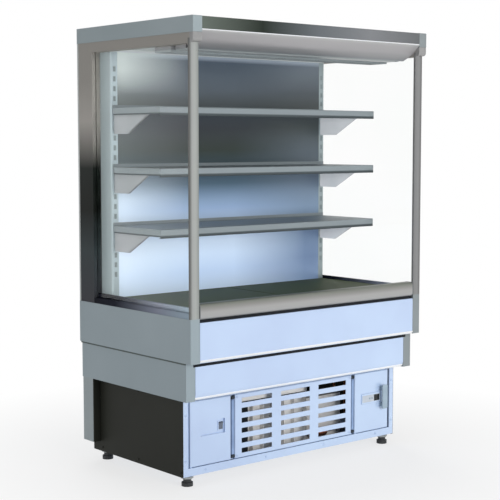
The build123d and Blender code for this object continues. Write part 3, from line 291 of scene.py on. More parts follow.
# Frame screws: plated button heads with a deep socket, in the rails, the corner posts, the grille and
# the side sheets, coated over with the sheet round them. One is modelled, facing the front, and copied.
def sink(piece, rim, move, test):
    """Leaves a rim round the faces that pass a test and moves what is inside it."""
    pick(piece, "faces", test)
    bpy.ops.mesh.inset(thickness=rim)
    bpy.ops.mesh.extrude_region_move(TRANSFORM_OT_translate={"value": move})


def turned(x, y, z, turn=0, tilt=0):
    """Place and turn in degrees, about Z and then X, of something modelled at the origin facing -Y."""
    return (Matrix.Translation((x, y, z)) @ Matrix.Rotation(math.radians(turn), 4, "Z")
            @ Matrix.Rotation(math.radians(tilt), 4, "X"))


SCREW_R, SCREW_H, SOCKET_RIM, SOCKET_D = 0.0052, 0.0026, 0.0028, 0.0016
SCREW_IN = 0.012  # from the edge of a sheet to the middle of its screws
RAIL_FRONT, BASE_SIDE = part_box("base_chassis")[0].y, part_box("base_side_right")[1].x
grille_low, grille_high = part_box("grille")
GRILLE_SCREW_Z = (grille_low.z + SCREW_IN, grille_high.z - SCREW_IN)
bpy.ops.object.select_all(action="DESELECT")
bpy.ops.mesh.primitive_cylinder_add(
    vertices=12, radius=SCREW_R, depth=SCREW_H, location=(0, -SCREW_H / 2, 0), rotation=(math.pi / 2, 0, 0))
screw = begin("screw")
sink(screw, SOCKET_RIM, (0, SOCKET_D, 0), lambda middle, normal: normal.y < -0.9)
round_off(screw, 0.0014, 2, lambda middle, way: middle.y < 0.0001 - SCREW_H
          and middle.xz.length > 0.8 * SCREW_R)
settle(screw, plated)
set_of(screw, "base_front_screws", [
    *(turned(x, RAIL_FRONT, z) for x in (-0.50, -0.17, 0.17, 0.50) for z in (0.0615, 0.3645)),
    *(turned(x, RAIL_FRONT, z) for x in (-0.603, 0.603) for z in (0.11, 0.30)),
    *(turned(x, RAIL_FRONT, z) for x in (grille_low.x + SCREW_IN, grille_high.x - SCREW_IN)
      for z in GRILLE_SCREW_Z)],
    finish=blue_coat)
set_of(screw, "base_side_screws", [
    turned(sign * BASE_SIDE, y, z, 90 * sign) for sign in (-1, 1) for y in (-0.262, 0.04, 0.315)
    for z in (0.062, 0.358)], finish=dark_coat)


# Hinge and catch blocks: dark moulded blocks on the straps between the grille and the doors, one at
# the top and one at the foot of each gap, level with the grille's screws, with a hollow face.
def block(name, one, other):
    """A cuboid between two corners, open for editing."""
    low, high = Vector(map(min, one, other)), Vector(map(max, one, other))
    bpy.ops.object.select_all(action="DESELECT")
    bpy.ops.mesh.primitive_cube_add(size=1, location=(low + high) / 2, scale=high - low)
    return begin(name)


# satin, blue-black
abs_dark = coated("dark_moulded_abs", "#2c3238", "#3a4149", cloud=0.03, peel=0.002, gloss=0.4)
CATCH_X, CATCH_Z, CATCH_D = 0.0085, 0.006, 0.0172
door_low, door_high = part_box("door_right")
STRAP_X, STRAP_FRONT = door_low.x - 0.0125, door_high.y + 0.0005
catch = block("catch_block", (-CATCH_X, 0, -CATCH_Z), (CATCH_X, -CATCH_D, CATCH_Z))
round_off(catch, 0.0018, 2, lambda middle, way: middle.y < 0.0002 - CATCH_D)
sink(catch, 0.0022, (0, 0.0015, 0), lambda middle, normal: normal.y < -0.9)
settle(catch, abs_dark)
set_of(catch, "catch_blocks", [
    turned(x, STRAP_FRONT, z) for x in (-STRAP_X, STRAP_X) for z in GRILLE_SCREW_Z])
bpy.data.objects.remove(catch)

# Door gap strips: soft rubber seals on the corner posts and on the straps, which close most of the gap on
# both sides of each door. They are matt and even; their grey-blue, with one deeper line at the far right, is
# painted shade of the gaps.
gap_shade_blue = coated("grey_blue_gap_shade_rubber", "#8095b8", "#8fa5c8", cloud=0.05, peel=0.003, gloss=0.6, shine=0.2)
deep_gap_shade_slate = coated("slate_gap_shade_rubber", "#5d697f", "#69758b", cloud=0.05, peel=0.003, gloss=0.6, shine=0.2)
GAP_FRONT, GAP_REAR = door_low.y + 0.001, door_high.y + 0.001
for side, sign in (("left", -1), ("right", 1)):
    for place, near, far, foot, top in (
        ("outer", door_high.x + 0.0048, door_high.x + 0.0102, door_low.z - 0.0015, door_high.z + 0.0015),
        ("inner", door_low.x - 0.0188, door_low.x - 0.0047, door_low.z + 0.0205, door_high.z - 0.0205),
    ):
        strip = block(f"door_gap_{place}_{side}", (sign * near, GAP_FRONT, foot), (sign * far, GAP_REAR, top))
        round_off(strip, 0.0022, 3, lambda middle, way: abs(way.z) > 0.9 and middle.y < GAP_FRONT + 0.005)
        settle(strip, deep_gap_shade_slate if (place, side) == ("outer", "right") else gap_shade_blue)

# Rear cover: steel folded round both rear corners, screwed on from behind, with a plain mid grey coat in
# half gloss. A dark coated strip lines each fold where it meets the side sheet.
cover_coat = coated("grey_coated_cover_steel", "#8d979a", "#9aa3a6",
                    cloud=0.5, peel=0.004, gloss=0.4, metal=0.1)
dress(cover_coat, "rear_cover")
SEAT = 0.0002  # how deep a piece is let into the one that carries it
cover_low, cover_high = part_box("rear_cover")
FOLD_NEAR, FOLD_FAR = BASE_SIDE + 0.0002, cover_high.x - 0.0004
FOLD_FRONT, FOLD_REAR = cover_low.y - 0.0037, cover_low.y + SEAT
FOLD_FOOT, FOLD_TOP = cover_low.z + 0.0005, cover_high.z - 0.0005
for side, sign in (("left", -1), ("right", 1)):
    strip = block(f"cover_fold_strip_{side}",
                  (sign * FOLD_NEAR, FOLD_FRONT, FOLD_FOOT), (sign * FOLD_FAR, FOLD_REAR, FOLD_TOP))
    round_off(strip, 0.0022, 3, lambda middle, way: abs(way.z) > 0.9 and middle.y < FOLD_FRONT + 0.001)
    settle(strip, dark_coat)
set_of(screw, "rear_cover_screws", [
    turned(x, cover_high.y, z, 180) for x in (-0.63, -0.21, 0.21, 0.63)
    for z in (cover_low.z + SCREW_IN, cover_high.z - SCREW_IN)])

# Cooling machine: galvanised sheet, aluminium finned coils, a black enamelled compressor can, brazed
# copper pipe, moulded fans, cast motors and a grey drain.
SPANGLE = 0.0125
zinc = new_finish("hot_dip_galvanised_steel")  # mirror-dull spangle of flat crystals about 12 mm across
spot = put(zinc, "ShaderNodeTexCoord")
crystal = put(zinc, "ShaderNodeTexVoronoi", {"Vector": spot.outputs["Object"], "Scale": 1 / SPANGLE})
tone = put(zinc, "ShaderNodeValToRGB", {"Fac": crystal.outputs["Color"]}, (
    (0.1, "#9aa2a6"), (0.9, "#bcc3c6")))
sheen = put(zinc, "ShaderNodeMapRange", {"Value": crystal.outputs["Color"], "To Min": 0.34, "To Max": 0.52})
skin = put(zinc, "ShaderNodeBump", {
    "Height": crystal.outputs["Distance"], "Strength": 0.05, "Distance": 0.0005})
shell = put(zinc, "ShaderNodeBsdfPrincipled", {
    "Base Color": tone.outputs["Color"], "Metallic": 0.6, "Roughness": sheen.outputs["Result"],
    "Normal": skin.outputs["Normal"]})
put(zinc, "ShaderNodeOutputMaterial", {"Surface": shell.outputs[0]})
dress(zinc, "fan_plate", "fan_shroud", "electrical_box")

RIPPLE_SCALE = 60.0  # a ripple about every 5 mm
fin_metal = new_finish("rolled_aluminium_fins")  # pale bare foil with a faint ripple
spot = put(fin_metal, "ShaderNodeTexCoord")
ripple = put(fin_metal, "ShaderNodeTexWave", {
    "Vector": spot.outputs["Object"], "Scale": RIPPLE_SCALE, "Distortion": 1.0}, bands_direction="Z")
tone = put(fin_metal, "ShaderNodeValToRGB", {"Fac": ripple.outputs["Fac"]}, (
    (0.2, "#dedad5"), (0.8, "#f6f3ef")))
skin = put(fin_metal, "ShaderNodeBump", {
    "Height": ripple.outputs["Fac"], "Strength": 0.2, "Distance": 0.001})
sheen = put(fin_metal, "ShaderNodeMapRange", {
    "Value": ripple.outputs["Fac"], "To Min": 0.40, "To Max": 0.50})
shell = put(fin_metal, "ShaderNodeBsdfPrincipled", {
    "Base Color": tone.outputs["Color"], "Metallic": 0.15, "Roughness": sheen.outputs["Result"],
    "Normal": skin.outputs["Normal"]})
put(fin_metal, "ShaderNodeOutputMaterial", {"Surface": shell.outputs[0]})
dress(fin_metal, "condenser", "evaporator")

# deep black with a soft gloss
enamel = coated("black_enamelled_can", "#121314", "#1f2122", cloud=0.12, peel=0.003, gloss=0.3)
dress(enamel, "compressor")
# warm metal, darkened in patches by brazing heat
copper = coated("drawn_copper_tube", "#7a4630", "#c07a55", cloud=0.07, peel=0.002, gloss=0.35, metal=1.0)
dress(copper, "pipework")
dress(polyamide, "condenser_fan", "evap_fan_left", "evap_fan_right")
# dark grey casting, slightly metallic and cloudy
motor_grey = coated("die_cast_motor_housing", "#5b5f63", "#74797d",
                    cloud=0.08, peel=0.002, gloss=0.45, metal=0.4)
dress(motor_grey, "condenser_motor", "evap_motors")
# even mid grey, satin
drain_grey = coated("grey_rigid_pvc", "#6d7275", "#7f8487", cloud=0.2, peel=0.003, gloss=0.4)
dress(drain_grey, "drain_pipe", "drip_pan")

# Air baffles: bare metal sheets that close the space above the condenser and beside it, so that warm air
# can't run back over the coil. One long edge of each is folded back.
BAFFLE_SHEET, BAFFLE_EDGE, BAFFLE_FOLD = 0.0015, 0.0012, 0.022
coil_low, coil_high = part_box("condenser")
for name, near, far, front, foot, top, up in (
    ("baffle_top", coil_low.x, coil_high.x - 0.014, coil_low.y - 0.0025,
     coil_high.z + 0.0003, coil_high.z + 0.047, -1),
    ("baffle_side", coil_high.x + 0.0015, coil_high.x + 0.230, coil_low.y + 0.036,
     coil_low.z + 0.001, coil_low.z + 0.2145, 1),
):
    baffle = block(name, (near, front, foot), (far, front + BAFFLE_SHEET, top))
    edge = top if up > 0 else foot
    pick(baffle, "faces", lambda middle, normal: up * normal.z > 0.9)
    bpy.ops.mesh.extrude_region_move(TRANSFORM_OT_translate={"value": (0, 0, up * BAFFLE_EDGE)})
    pick(baffle, "faces", lambda middle, normal: normal.y > 0.9 and abs(middle.z - edge) < BAFFLE_EDGE)
    bpy.ops.mesh.extrude_region_move(TRANSFORM_OT_translate={"value": (0, BAFFLE_FOLD, 0)})
    settle(baffle, fin_metal)

# Condenser edge seal: a rubber strip glued down the left edge of the condenser, which keeps air from
# slipping past the coil. The rubber is dull and deep black, a painted shade at the left ends of the
# grille's slots.
# deep black, used as painted shade here and in the step and bumper gaps of the front panels
rubber = coated("black_shade_sealing_rubber", "#15171b", "#1f2227", cloud=0.04, peel=0.003, gloss=0.55, shine=0.15)
COIL_SEAL_FRONT = coil_low.y - 0.0028
seal = block("condenser_edge_seal", (coil_low.x - 0.0005, COIL_SEAL_FRONT, coil_low.z + 0.0005),
             (coil_low.x + 0.041, coil_low.y + 2 * SEAT, coil_high.z - 0.0005))
round_off(seal, 0.0015, 2, lambda middle, way: abs(way.z) > 0.9 and middle.y < COIL_SEAL_FRONT + 0.0008)
settle(seal, rubber)

# Compressor terminal cover: a black moulded box on the front of the can with rounded edges and a raised
# lid, which hides the start relay.
can_low, can_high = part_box("compressor")
TERMINAL_X, TERMINAL_HALF = (can_low.x + can_high.x) / 2, 0.034
TERMINAL_FRONT, TERMINAL_REAR = can_low.y - 0.0265, can_low.y + 0.0115
TERMINAL_FOOT, TERMINAL_TOP = can_low.z + 0.1025, can_low.z + 0.1845
cover = block("terminal_cover", (TERMINAL_X - TERMINAL_HALF, TERMINAL_FRONT, TERMINAL_FOOT),
              (TERMINAL_X + TERMINAL_HALF, TERMINAL_REAR, TERMINAL_TOP))
round_off(cover, 0.006, 3, lambda middle, way: middle.y < TERMINAL_REAR - 0.004)
sink(cover, 0.005, (0, -0.003, 0), lambda middle, normal: normal.y < -0.99)
settle(cover, abs_dark)

# Electrical box lid: a moulded lid with a rounded rim round a sunk middle, held by four screws, in an even
# light grey with a satin skin.
lid_grey = coated("light_grey_moulded_abs", "#aeb3b5", "#bcc0c1", cloud=0.06, peel=0.002, gloss=0.4)
box_low, box_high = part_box("electrical_box")
LID_LEFT, LID_RIGHT = box_low.x - 0.002, box_high.x + 0.002
LID_FRONT, LID_REAR = box_low.y - 0.008, box_low.y + 0.0005
LID_FOOT, LID_TOP = box_low.z + 0.021, box_high.z - 0.001
lid = block("electrical_box_lid", (LID_LEFT, LID_FRONT, LID_FOOT), (LID_RIGHT, LID_REAR, LID_TOP))
round_off(lid, 0.004, 3, lambda middle, way: middle.y < LID_FRONT + 0.001)
sink(lid, 0.016, (0, 0.0018, 0), lambda middle, normal: normal.y < -0.99)
settle(lid, lid_grey)
set_of(screw, "electrical_box_screws", [
    turned(x, LID_FRONT + SEAT, z) for x in (LID_LEFT + 0.010, LID_RIGHT - 0.010)
    for z in (LID_FOOT + 0.0105, LID_TOP - 0.0105)])

# Door fittings: a moulded rocker, pull, face plate and keys, clipped in. The switch and the control strip
# take the blue of their doors. The plate, with a dark display and two keys, sits on the control strip.

# satin and slightly mottled, as moulded: slate, then mid grey, then a cool off-white
abs_slate = coated("slate_moulded_abs", "#5c6370", "#69717e", cloud=0.05, peel=0.002, gloss=0.4)
abs_grey = coated("grey_moulded_abs", "#94a6b4", "#a1b3c0", cloud=0.05, peel=0.002, gloss=0.4)
abs_pale = coated("pale_moulded_abs", "#b9bfc8", "#c6ccd3", cloud=0.05, peel=0.002, gloss=0.4)
dress(abs_slate, "rocker")
dress(abs_grey, "door_handle")
dress(blue_coat, "controller", "light_switch")
control_low, control_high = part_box("controller")
PLATE_FRONT, PLATE_D = control_low.y - 0.001, 0.0012
plate = block("control_plate", (control_low.x + 0.003, PLATE_FRONT, control_low.z + 0.008),
              (control_high.x - 0.0015, PLATE_FRONT + PLATE_D, control_high.z - 0.008))
round_off(plate, 0.0008, 2, lambda middle, way: middle.y < PLATE_FRONT + 0.0001)
sink(plate, 0.0015, (0, 0.0004, 0), lambda middle, normal: normal.y < -0.99)
settle(plate, abs_pale, "right_door")
# black and mirror smooth
smoked_acrylic = coated("smoked_acrylic", "#17191b", "#232629", cloud=0.02, peel=0.002, gloss=0.12)
WINDOW_FRONT, WINDOW_D = control_low.y - 0.0024, 0.0020
window = block("display_window", (control_high.x - 0.039, WINDOW_FRONT, control_low.z + 0.0095),
               (control_high.x - 0.0045, WINDOW_FRONT + WINDOW_D, control_high.z - 0.0095))
round_off(window, 0.0012, 2, lambda middle, way: middle.y < WINDOW_FRONT + 0.0004)
settle(window, smoked_acrylic, "right_door")
KEY_HALF, KEY_D, KEY_Z = 0.004, 0.0018, (control_low.z + control_high.z) / 2
key = block("key", (-KEY_HALF, 0, -KEY_HALF), (KEY_HALF, -KEY_D, KEY_HALF))
round_off(key, 0.001, 2, lambda middle, way: middle.y < 0.0001 - KEY_D)
sink(key, 0.001, (0, 0.0004, 0), lambda middle, normal: normal.y < -0.99)
settle(key, abs_grey, "right_door")
set_of(key, "control_keys", [
    turned(control_low.x + along, PLATE_FRONT + 0.0008, KEY_Z) for along in (0.050, 0.065)],
    "right_door")
bpy.data.objects.remove(key)

# Insulated shell: tub, rear wall and roof of foam between galvanised and coated sheets, with flat cover
# strips over the joints of the rear and roof sheets. Screws hold the edges. The outer sheet is plain grey
# with a pebbled relief.
shell_coat = coated("stucco_coated_panel", "#949c9f", "#a1a8ab", cloud=0.6, peel=0.006, gloss=0.45, metal=0.1)
dress(shell_coat, "tub", "rear_wall", "roof")
JOINT_HALF, JOINT_PROUD, JOINT_GROOVE = 0.022, 0.0018, 0.0008
wall_low, wall_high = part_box("rear_wall")
roof_low, roof_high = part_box("roof")
for name, low, high, out in (
    ("rear_joint_strip", (-JOINT_HALF, wall_high.y - 2 * SEAT, wall_low.z + 0.003),
     (JOINT_HALF, wall_high.y + JOINT_PROUD, wall_high.z - 0.004), Vector((0, 1, 0))),
    ("roof_joint_strip", (-JOINT_HALF, roof_low.y + 0.003, roof_high.z - 2 * SEAT),
     (JOINT_HALF, roof_high.y - 0.003, roof_high.z + JOINT_PROUD), Vector((0, 0, 1))),
):
    strip = block(name, low, high)
    face = Vector(high).dot(out)
    round_off(strip, 0.0015, 2, lambda middle, way: middle.dot(out) > face - 0.0002
              and abs(middle.x) > JOINT_HALF - 0.002)
    sink(strip, 0.006, tuple(-JOINT_GROOVE * out), lambda middle, normal: normal.dot(out) > 0.99)
    settle(strip, cover_coat)
REAR_FACE, ROOF_FACE = wall_high.y - SEAT, roof_high.z - SEAT
set_of(screw, "rear_wall_screws", [
    turned(x, REAR_FACE, z, 180) for x in (-0.60, -0.30, 0.30, 0.60) for z in (0.74, 1.28, 1.85)])
set_of(screw, "roof_screws", [
    turned(x, y, ROOF_FACE, 0, -90) for x in (-0.60, 0.60) for y in (-0.37, 0.0, 0.38)])

# End panels and canopy ends: foam filled coated steel, the widest pieces of the case, in three close greys
# of half gloss: neutral, bluer on the left end panel, and duller and darker at the right end, the darkness a
# painted shade. A rubber strip closes the step of each end panel from below; its grey is a painted shadow.
grey_coat = coated("grey_coated_steel", "#8d999d", "#99a4a8", cloud=0.7, peel=0.004, gloss=0.38, metal=0.1)
dress(grey_coat, "canopy_end_left")
end_coat = coated("blue_grey_coated_steel", "#8e9ba1", "#9aa6ac",
                  cloud=0.7, peel=0.004, gloss=0.38, metal=0.1)
dress(end_coat, "end_panel_left")
# painted shade: the right end pieces take a darker copy of the grey coat
shaded_grey_coat = coated("shaded_grey_coated_steel", "#7f8688", "#899092",
                   cloud=0.7, peel=0.004, gloss=0.4, metal=0.1)
dress(shaded_grey_coat, "end_panel_right", "canopy_end_right")
# matt, darker than the panels: the painted shadow under the step
step_shadow_grey = coated("grey_step_shadow_rubber", "#505a58", "#5c6664", cloud=0.04, peel=0.003, gloss=0.55, shine=0.2)
upper_low, upper_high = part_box("front_panel_upper")
lower_low, lower_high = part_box("front_panel_lower")
end_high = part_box("end_panel_right")[1]
STEP_NEAR, STEP_FAR = cover_high.x - 0.0005, end_high.x - 0.005
STEP_FRONT, STEP_REAR = lower_low.y + 0.001, end_high.y - 0.0005
STEP_FOOT, STEP_TOP = upper_low.z - 0.0085, upper_low.z + SEAT
for side, sign in (("left", -1), ("right", 1)):
    strip = block(f"step_strip_{side}",
                  (sign * STEP_NEAR, STEP_FRONT, STEP_FOOT), (sign * STEP_FAR, STEP_REAR, STEP_TOP))
    round_off(strip, 0.003, 3, lambda middle, way: abs(way.y) > 0.9 and middle.z < STEP_FOOT + 0.0015
              and abs(middle.x) > STEP_FAR - 0.002)
    settle(strip, step_shadow_grey)

# Front panels of the tub: the same glossy pale blue coat as the base, rolled at the lower edge. A polished
# trim follows the upper roll and a white edge, a painted highlight, the lower one. Rubber seals close the
# step and the gap under the bumper, over the return fold of the upper panel; their black is painted shade.
dress(blue_coat, "front_panel_upper", "front_panel_lower")
# mirrors the white room
polished = coated("polished_aluminium", "#eef2f6", "#fbfcfe", cloud=0.3, peel=0.004, gloss=0.14, metal=1.0)
# stays white in the shade: a painted highlight on the lower roll
roll_highlight_edge = coated("white_painted_highlight_edge", "#f8fafc", "#ffffff", cloud=0.3, peel=0.004, gloss=0.3)
TRIM_HALF, SEAL_HALF = upper_high.x + 0.0005, upper_high.x - 0.0005
UPPER_ROLL, LOWER_ROLL = 0.012, 0.028
upper_axis = Vector((0, upper_low.y + UPPER_ROLL, upper_low.z + UPPER_ROLL))
lower_axis = Vector((0, lower_low.y + LOWER_ROLL, lower_low.z + LOWER_ROLL))
for name, front, rear, foot, top, faced, centre, turn, finish in (
    ("roll_trim_upper", upper_low.y - 0.0012, upper_low.y + 0.0001, upper_axis.z, upper_axis.z + 0.001,
     "z", upper_axis, 80, polished),
    ("roll_trim_lower", lower_axis.y - 0.0002, lower_axis.y + 0.004, lower_low.z - 0.0013, lower_low.z,
     "y", lower_axis, -58, roll_highlight_edge),
):
    trim = block(name, (-TRIM_HALF, front, foot), (TRIM_HALF, rear, top))
    pick(trim, "faces", lambda middle, normal: getattr(normal, faced) < -0.9)
    bpy.ops.mesh.spin(steps=8, angle=math.radians(turn), center=centre, axis=(-1, 0, 0))
    settle(trim, finish)
# black seals, painted shade at the step and under the bumper
for name, front, rear, foot, top in (
    ("step_seal", lower_low.y - 0.0035, lower_low.y + SEAT, lower_high.z - 0.021, lower_high.z - 0.0002),
    ("bumper_seal", upper_low.y + 0.007, upper_low.y + 0.0122, upper_high.z + 0.0002, upper_high.z + 0.0193),
):
    seal = block(name, (-SEAL_HALF, front, foot), (SEAL_HALF, rear, top))
    round_off(seal, 0.0028, 3, lambda middle, way: abs(way.x) > 0.9 and middle.y < front + 0.0002)
    settle(seal, rubber)
RETURN_FRONT, RETURN_REAR = upper_low.y + 0.0004, upper_axis.y
RETURN_FOOT, RETURN_TOP = upper_high.z - 0.001, upper_high.z + 0.008
fold = block("front_panel_fold",
             (-SEAL_HALF, RETURN_FRONT, RETURN_FOOT), (SEAL_HALF, RETURN_REAR, RETURN_TOP))
round_off(fold, 0.003, 3, lambda middle, way: abs(way.x) > 0.9 and middle.y < RETURN_FRONT + 0.0006
          and middle.z > RETURN_TOP - 0.0055)
settle(fold, blue_coat)


# Bumper lip: an extruded aluminium nose along the front of the tub, closed at both ends by moulded caps
# with a sunk face.
def graded(name, axis, span, stops, gloss, metal=0.0, shine=0.2, grain=(250, 250, 250), every=None):
    """A finish whose tone runs along one axis, again at each pitch if given, with a grain.

    The grain, in marks per metre along X, Y and Z, shows in gloss and relief. It is drawn about 4 mm wide,
    coarser than real, so that it shows.
    """
    finish = new_finish(name)
    spot = put(finish, "ShaderNodeTexCoord")
    axes = put(finish, "ShaderNodeSeparateXYZ", {"Vector": spot.outputs["Object"]})
    value = axes.outputs[axis]
    if every:
        margin = (every - abs(span[1] - span[0])) / 2
        value = put(finish, "ShaderNodeMath", {
            0: value, 1: span[0] - margin + every, 2: span[0] - margin}, operation="WRAP").outputs[0]
    along = put(finish, "ShaderNodeMapRange", {"Value": value, "From Min": span[0], "From Max": span[1]})
    tone = put(finish, "ShaderNodeValToRGB", {"Fac": along.outputs["Result"]}, stops)
    scale = put(finish, "ShaderNodeMapping", {"Vector": spot.outputs["Object"], "Scale": grain})
    fleck = put(finish, "ShaderNodeTexNoise", {
        "Vector": scale.outputs["Vector"], "Scale": 1.0, "Detail": 2.0})
    sheen = put(finish, "ShaderNodeMapRange", {
        "Value": fleck.outputs["Fac"], "To Min": gloss - 0.06, "To Max": gloss + 0.06})
    skin = put(finish, "ShaderNodeBump", {
        "Height": fleck.outputs["Fac"], "Strength": 0.06, "Distance": 0.0005})
    shell = put(finish, "ShaderNodeBsdfPrincipled", {
        "Base Color": tone.outputs["Color"], "Metallic": metal, "Roughness": sheen.outputs["Result"],
        "Specular IOR Level": shine, "Normal": skin.outputs["Normal"]})
    put(finish, "ShaderNodeOutputMaterial", {"Surface": shell.outputs[0]})
    return finish


NOSE_H, CAP_PROUD = 0.063, 0.0004  # height of the nose, and how far its caps stand proud of it
lip_low, lip_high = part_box("lip")
LIP_FOOT, LIP_TOP = lip_high.z - NOSE_H - CAP_PROUD, lip_high.z + CAP_PROUD
CAP_FRONT, CAP_REAR = lip_low.y - CAP_PROUD, lip_high.y + CAP_PROUD
CAP_NEAR, CAP_FAR = lip_high.x - 0.002, lip_high.x + 0.0017
# satin grey with lengthwise draw lines, and painted shade that darkens it over the crown
shaded_satin_nose = graded("satin_extruded_aluminium_painted_shade", "Z", (LIP_FOOT, LIP_TOP), (
    (0.0, "#a1a2a2"), (0.45, "#a09f9e"), (0.72, "#868682"), (1.0, "#6a6f64")),
    gloss=0.42, metal=0.2, shine=0.5, grain=(2, 260, 260))
dress(shaded_satin_nose, "lip")
for side, sign in (("left", -1), ("right", 1)):
    cap = block(f"bumper_cap_{side}",
                (sign * CAP_NEAR, CAP_FRONT, LIP_FOOT), (sign * CAP_FAR, CAP_REAR, LIP_TOP))
    round_off(cap, 0.014, 5, lambda middle, way: abs(way.x) > 0.9 and middle.y < CAP_FRONT + 0.003)
    sink(cap, 0.005, (-sign * 0.0012, 0, 0), lambda middle, normal: sign * normal.x > 0.9)
    settle(cap, motor_grey)

# Deck: two lift-out trays and the return air grille in front of them, folded and punched from steel
# sheet. The coat is dark green-grey and nearly matt.
deck_coat = coated("dark_green_grey_coated_steel", "#424d34", "#4b573c",
                   cloud=0.3, peel=0.004, gloss=0.55, shine=0.08)
dress(deck_coat, "deck_tray_left", "deck_tray_right", "return_grille")

# Uprights and brackets: slotted channels of bright rolled steel and folded cantilever brackets. Folded
# liners close the channels behind the free slots, between the hooks of the brackets.
upright_low, upright_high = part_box("upright_right")
UPRIGHT_X = (upright_low.x + upright_high.x) / 2
UPRIGHT_FRONT, UPRIGHT_FLANK = upright_low.y + 0.001, upright_low.y + 0.018
for side, lit_front_tone, shaded_flank_tone in (("left", "#bac9cf", "#98a5a9"), ("right", "#99a6a9", "#8f9b9e")):
    # painted light and shade: a bright rolled face over a duller flank, and the left upright lighter than the
    # right, with upright roll marks
    channel = graded(f"lit_and_shaded_rolled_steel_{side}", "Y", (UPRIGHT_FRONT, UPRIGHT_FLANK), (
        (0.0, lit_front_tone), (1.0, shaded_flank_tone)), gloss=0.4, metal=0.2, shine=0.5, grain=(200, 200, 3))
    dress(channel, f"upright_{side}")
# neutral light grey, half gloss
bracket_grey = coated("light_grey_coated_bracket", "#9da1a5", "#a9acb0",
                      cloud=0.2, peel=0.003, gloss=0.4, metal=0.1)
dress(bracket_grey, "brackets_left", "brackets_right")
# a greyer, duller tone, painted shade in the slots, that makes them read as shallow
slot_shade_liner = coated("slot_shade_coated_liner", "#7f8b8d", "#8c9799", cloud=0.2, peel=0.003, gloss=0.45)
LINER_NEAR, LINER_FAR = upright_low.x + 0.0021, upright_high.x - 0.0021
LINER_FRONT, LINER_REAR = upright_low.y + 0.0021, upright_low.y + 0.0032
LINER_RIM, LINER_FOLD = 0.0015, 0.008
HOOK_ABOVE, HOOK_BELOW = 0.002, 0.070  # the reach of a bracket's hooks over and under the foot of its shelf
shelf_feet = [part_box(f"shelf_{count}")[0].z for count in (3, 2, 1)]
liner_feet = (upright_low.z + 0.055, *(foot + HOOK_ABOVE for foot in shelf_feet))
liner_tops = (*(foot - HOOK_BELOW for foot in shelf_feet), upright_high.z - 0.006)
for side, sign in (("left", -1), ("right", 1)):
    for count, (foot, top) in enumerate(zip(liner_feet, liner_tops), 1):
        liner = block(f"upright_liner_{side}_{count}",
                      (sign * LINER_NEAR, LINER_FRONT, foot), (sign * LINER_FAR, LINER_REAR, top))
        pick(liner, "faces", lambda middle, normal: normal.y > 0.9)
        bpy.ops.mesh.inset(thickness=LINER_RIM)
        pick(liner, "faces", lambda middle, normal: normal.y > 0.9 and abs(abs(middle.x) - UPRIGHT_X) > 0.005)
        bpy.ops.mesh.extrude_region_move(TRANSFORM_OT_translate={"value": (0, LINER_FOLD, 0)})
        settle(liner, slot_shade_liner)

# Back panel: brushed stainless sheet between the uprights. It mirrors softly, and its slow zones are a
# painted
# reflection of a room: pale blue at the foot, dark at two thirds of its height, clearer on the left and
# greyer on the right, with a painted highlight along the top fold. These slow zones are in the finish,
# because no such room stands round the case.
PANEL_FOOT, PANEL_TOP = 0.72, 1.81
BRUSH_MARKS = (4, 300, 300)  # per metre: long flat streaks, drawn coarser than real so that they show
stainless = new_finish("brushed_stainless_painted_reflection")
spot = put(stainless, "ShaderNodeTexCoord")
axes = put(stainless, "ShaderNodeSeparateXYZ", {"Vector": spot.outputs["Object"]})
rise = put(stainless, "ShaderNodeMapRange", {
    "Value": axes.outputs["Z"], "From Min": PANEL_FOOT, "From Max": PANEL_TOP})
# painted reflection by height, mixed below with a greyer copy to the right and a clearer one to the left
fade = put(stainless, "ShaderNodeValToRGB", {"Fac": rise.outputs["Result"]}, (
    (0.0, "#dff1ff"), (0.1, "#d4eaff"), (0.22, "#e0f2ff"), (0.36, "#9ab3ce"), (0.46, "#4d6775"),
    (0.6, "#29342d"), (0.69, "#30363a"), (0.78, "#4f575b"), (0.965, "#55616a"), (0.98, "#a9b4ba")))
shade = put(stainless, "ShaderNodeValToRGB", {"Fac": rise.outputs["Result"]}, (
    (0.0, "#91aac9"), (0.12, "#6d84a2"), (0.35, "#7d93a8"), (0.47, "#5f6e7a"), (0.7, "#414846"),
    (0.85, "#495054"), (0.965, "#6c767c"), (0.98, "#a9b4ba")))
to_right = put(stainless, "ShaderNodeMapRange", {
    "Value": axes.outputs["X"], "From Min": 0.05, "From Max": 0.5})
right = put(stainless, "ShaderNodeMix", {
    0: to_right.outputs["Result"], 6: fade.outputs["Color"], 7: shade.outputs["Color"]}, data_type="RGBA")
to_left = put(stainless, "ShaderNodeMapRange", {
    "Value": axes.outputs["X"], "From Min": -0.2, "From Max": -0.56})
lift = put(stainless, "ShaderNodeValToRGB", {"Fac": rise.outputs["Result"]}, (
    (0.0, "#bcbcbc"), (0.2, "#e8e8e8"), (0.4, "#dedede"), (0.56, "#4c4c4c"), (0.82, "#6a6a6a"),
    (0.92, "#eaeaea"), (0.98, "#ffffff")))
glow = put(stainless, "ShaderNodeMath", {
    0: to_left.outputs["Result"], 1: lift.outputs["Color"]}, operation="MULTIPLY")
room = put(stainless, "ShaderNodeValToRGB", {"Fac": rise.outputs["Result"]}, (
    (0.4, "#e9f7ff"), (0.8, "#dfe7dd")))
left = put(stainless, "ShaderNodeMix", {
    0: glow.outputs[0], 6: right.outputs[2], 7: room.outputs["Color"]}, data_type="RGBA")
brush = put(stainless, "ShaderNodeMapping", {"Vector": spot.outputs["Object"], "Scale": BRUSH_MARKS})
streak = put(stainless, "ShaderNodeTexNoise", {
    "Vector": brush.outputs["Vector"], "Scale": 1.0, "Detail": 4.0})
sheen = put(stainless, "ShaderNodeMapRange", {
    "Value": streak.outputs["Fac"], "To Min": 0.24, "To Max": 0.42})
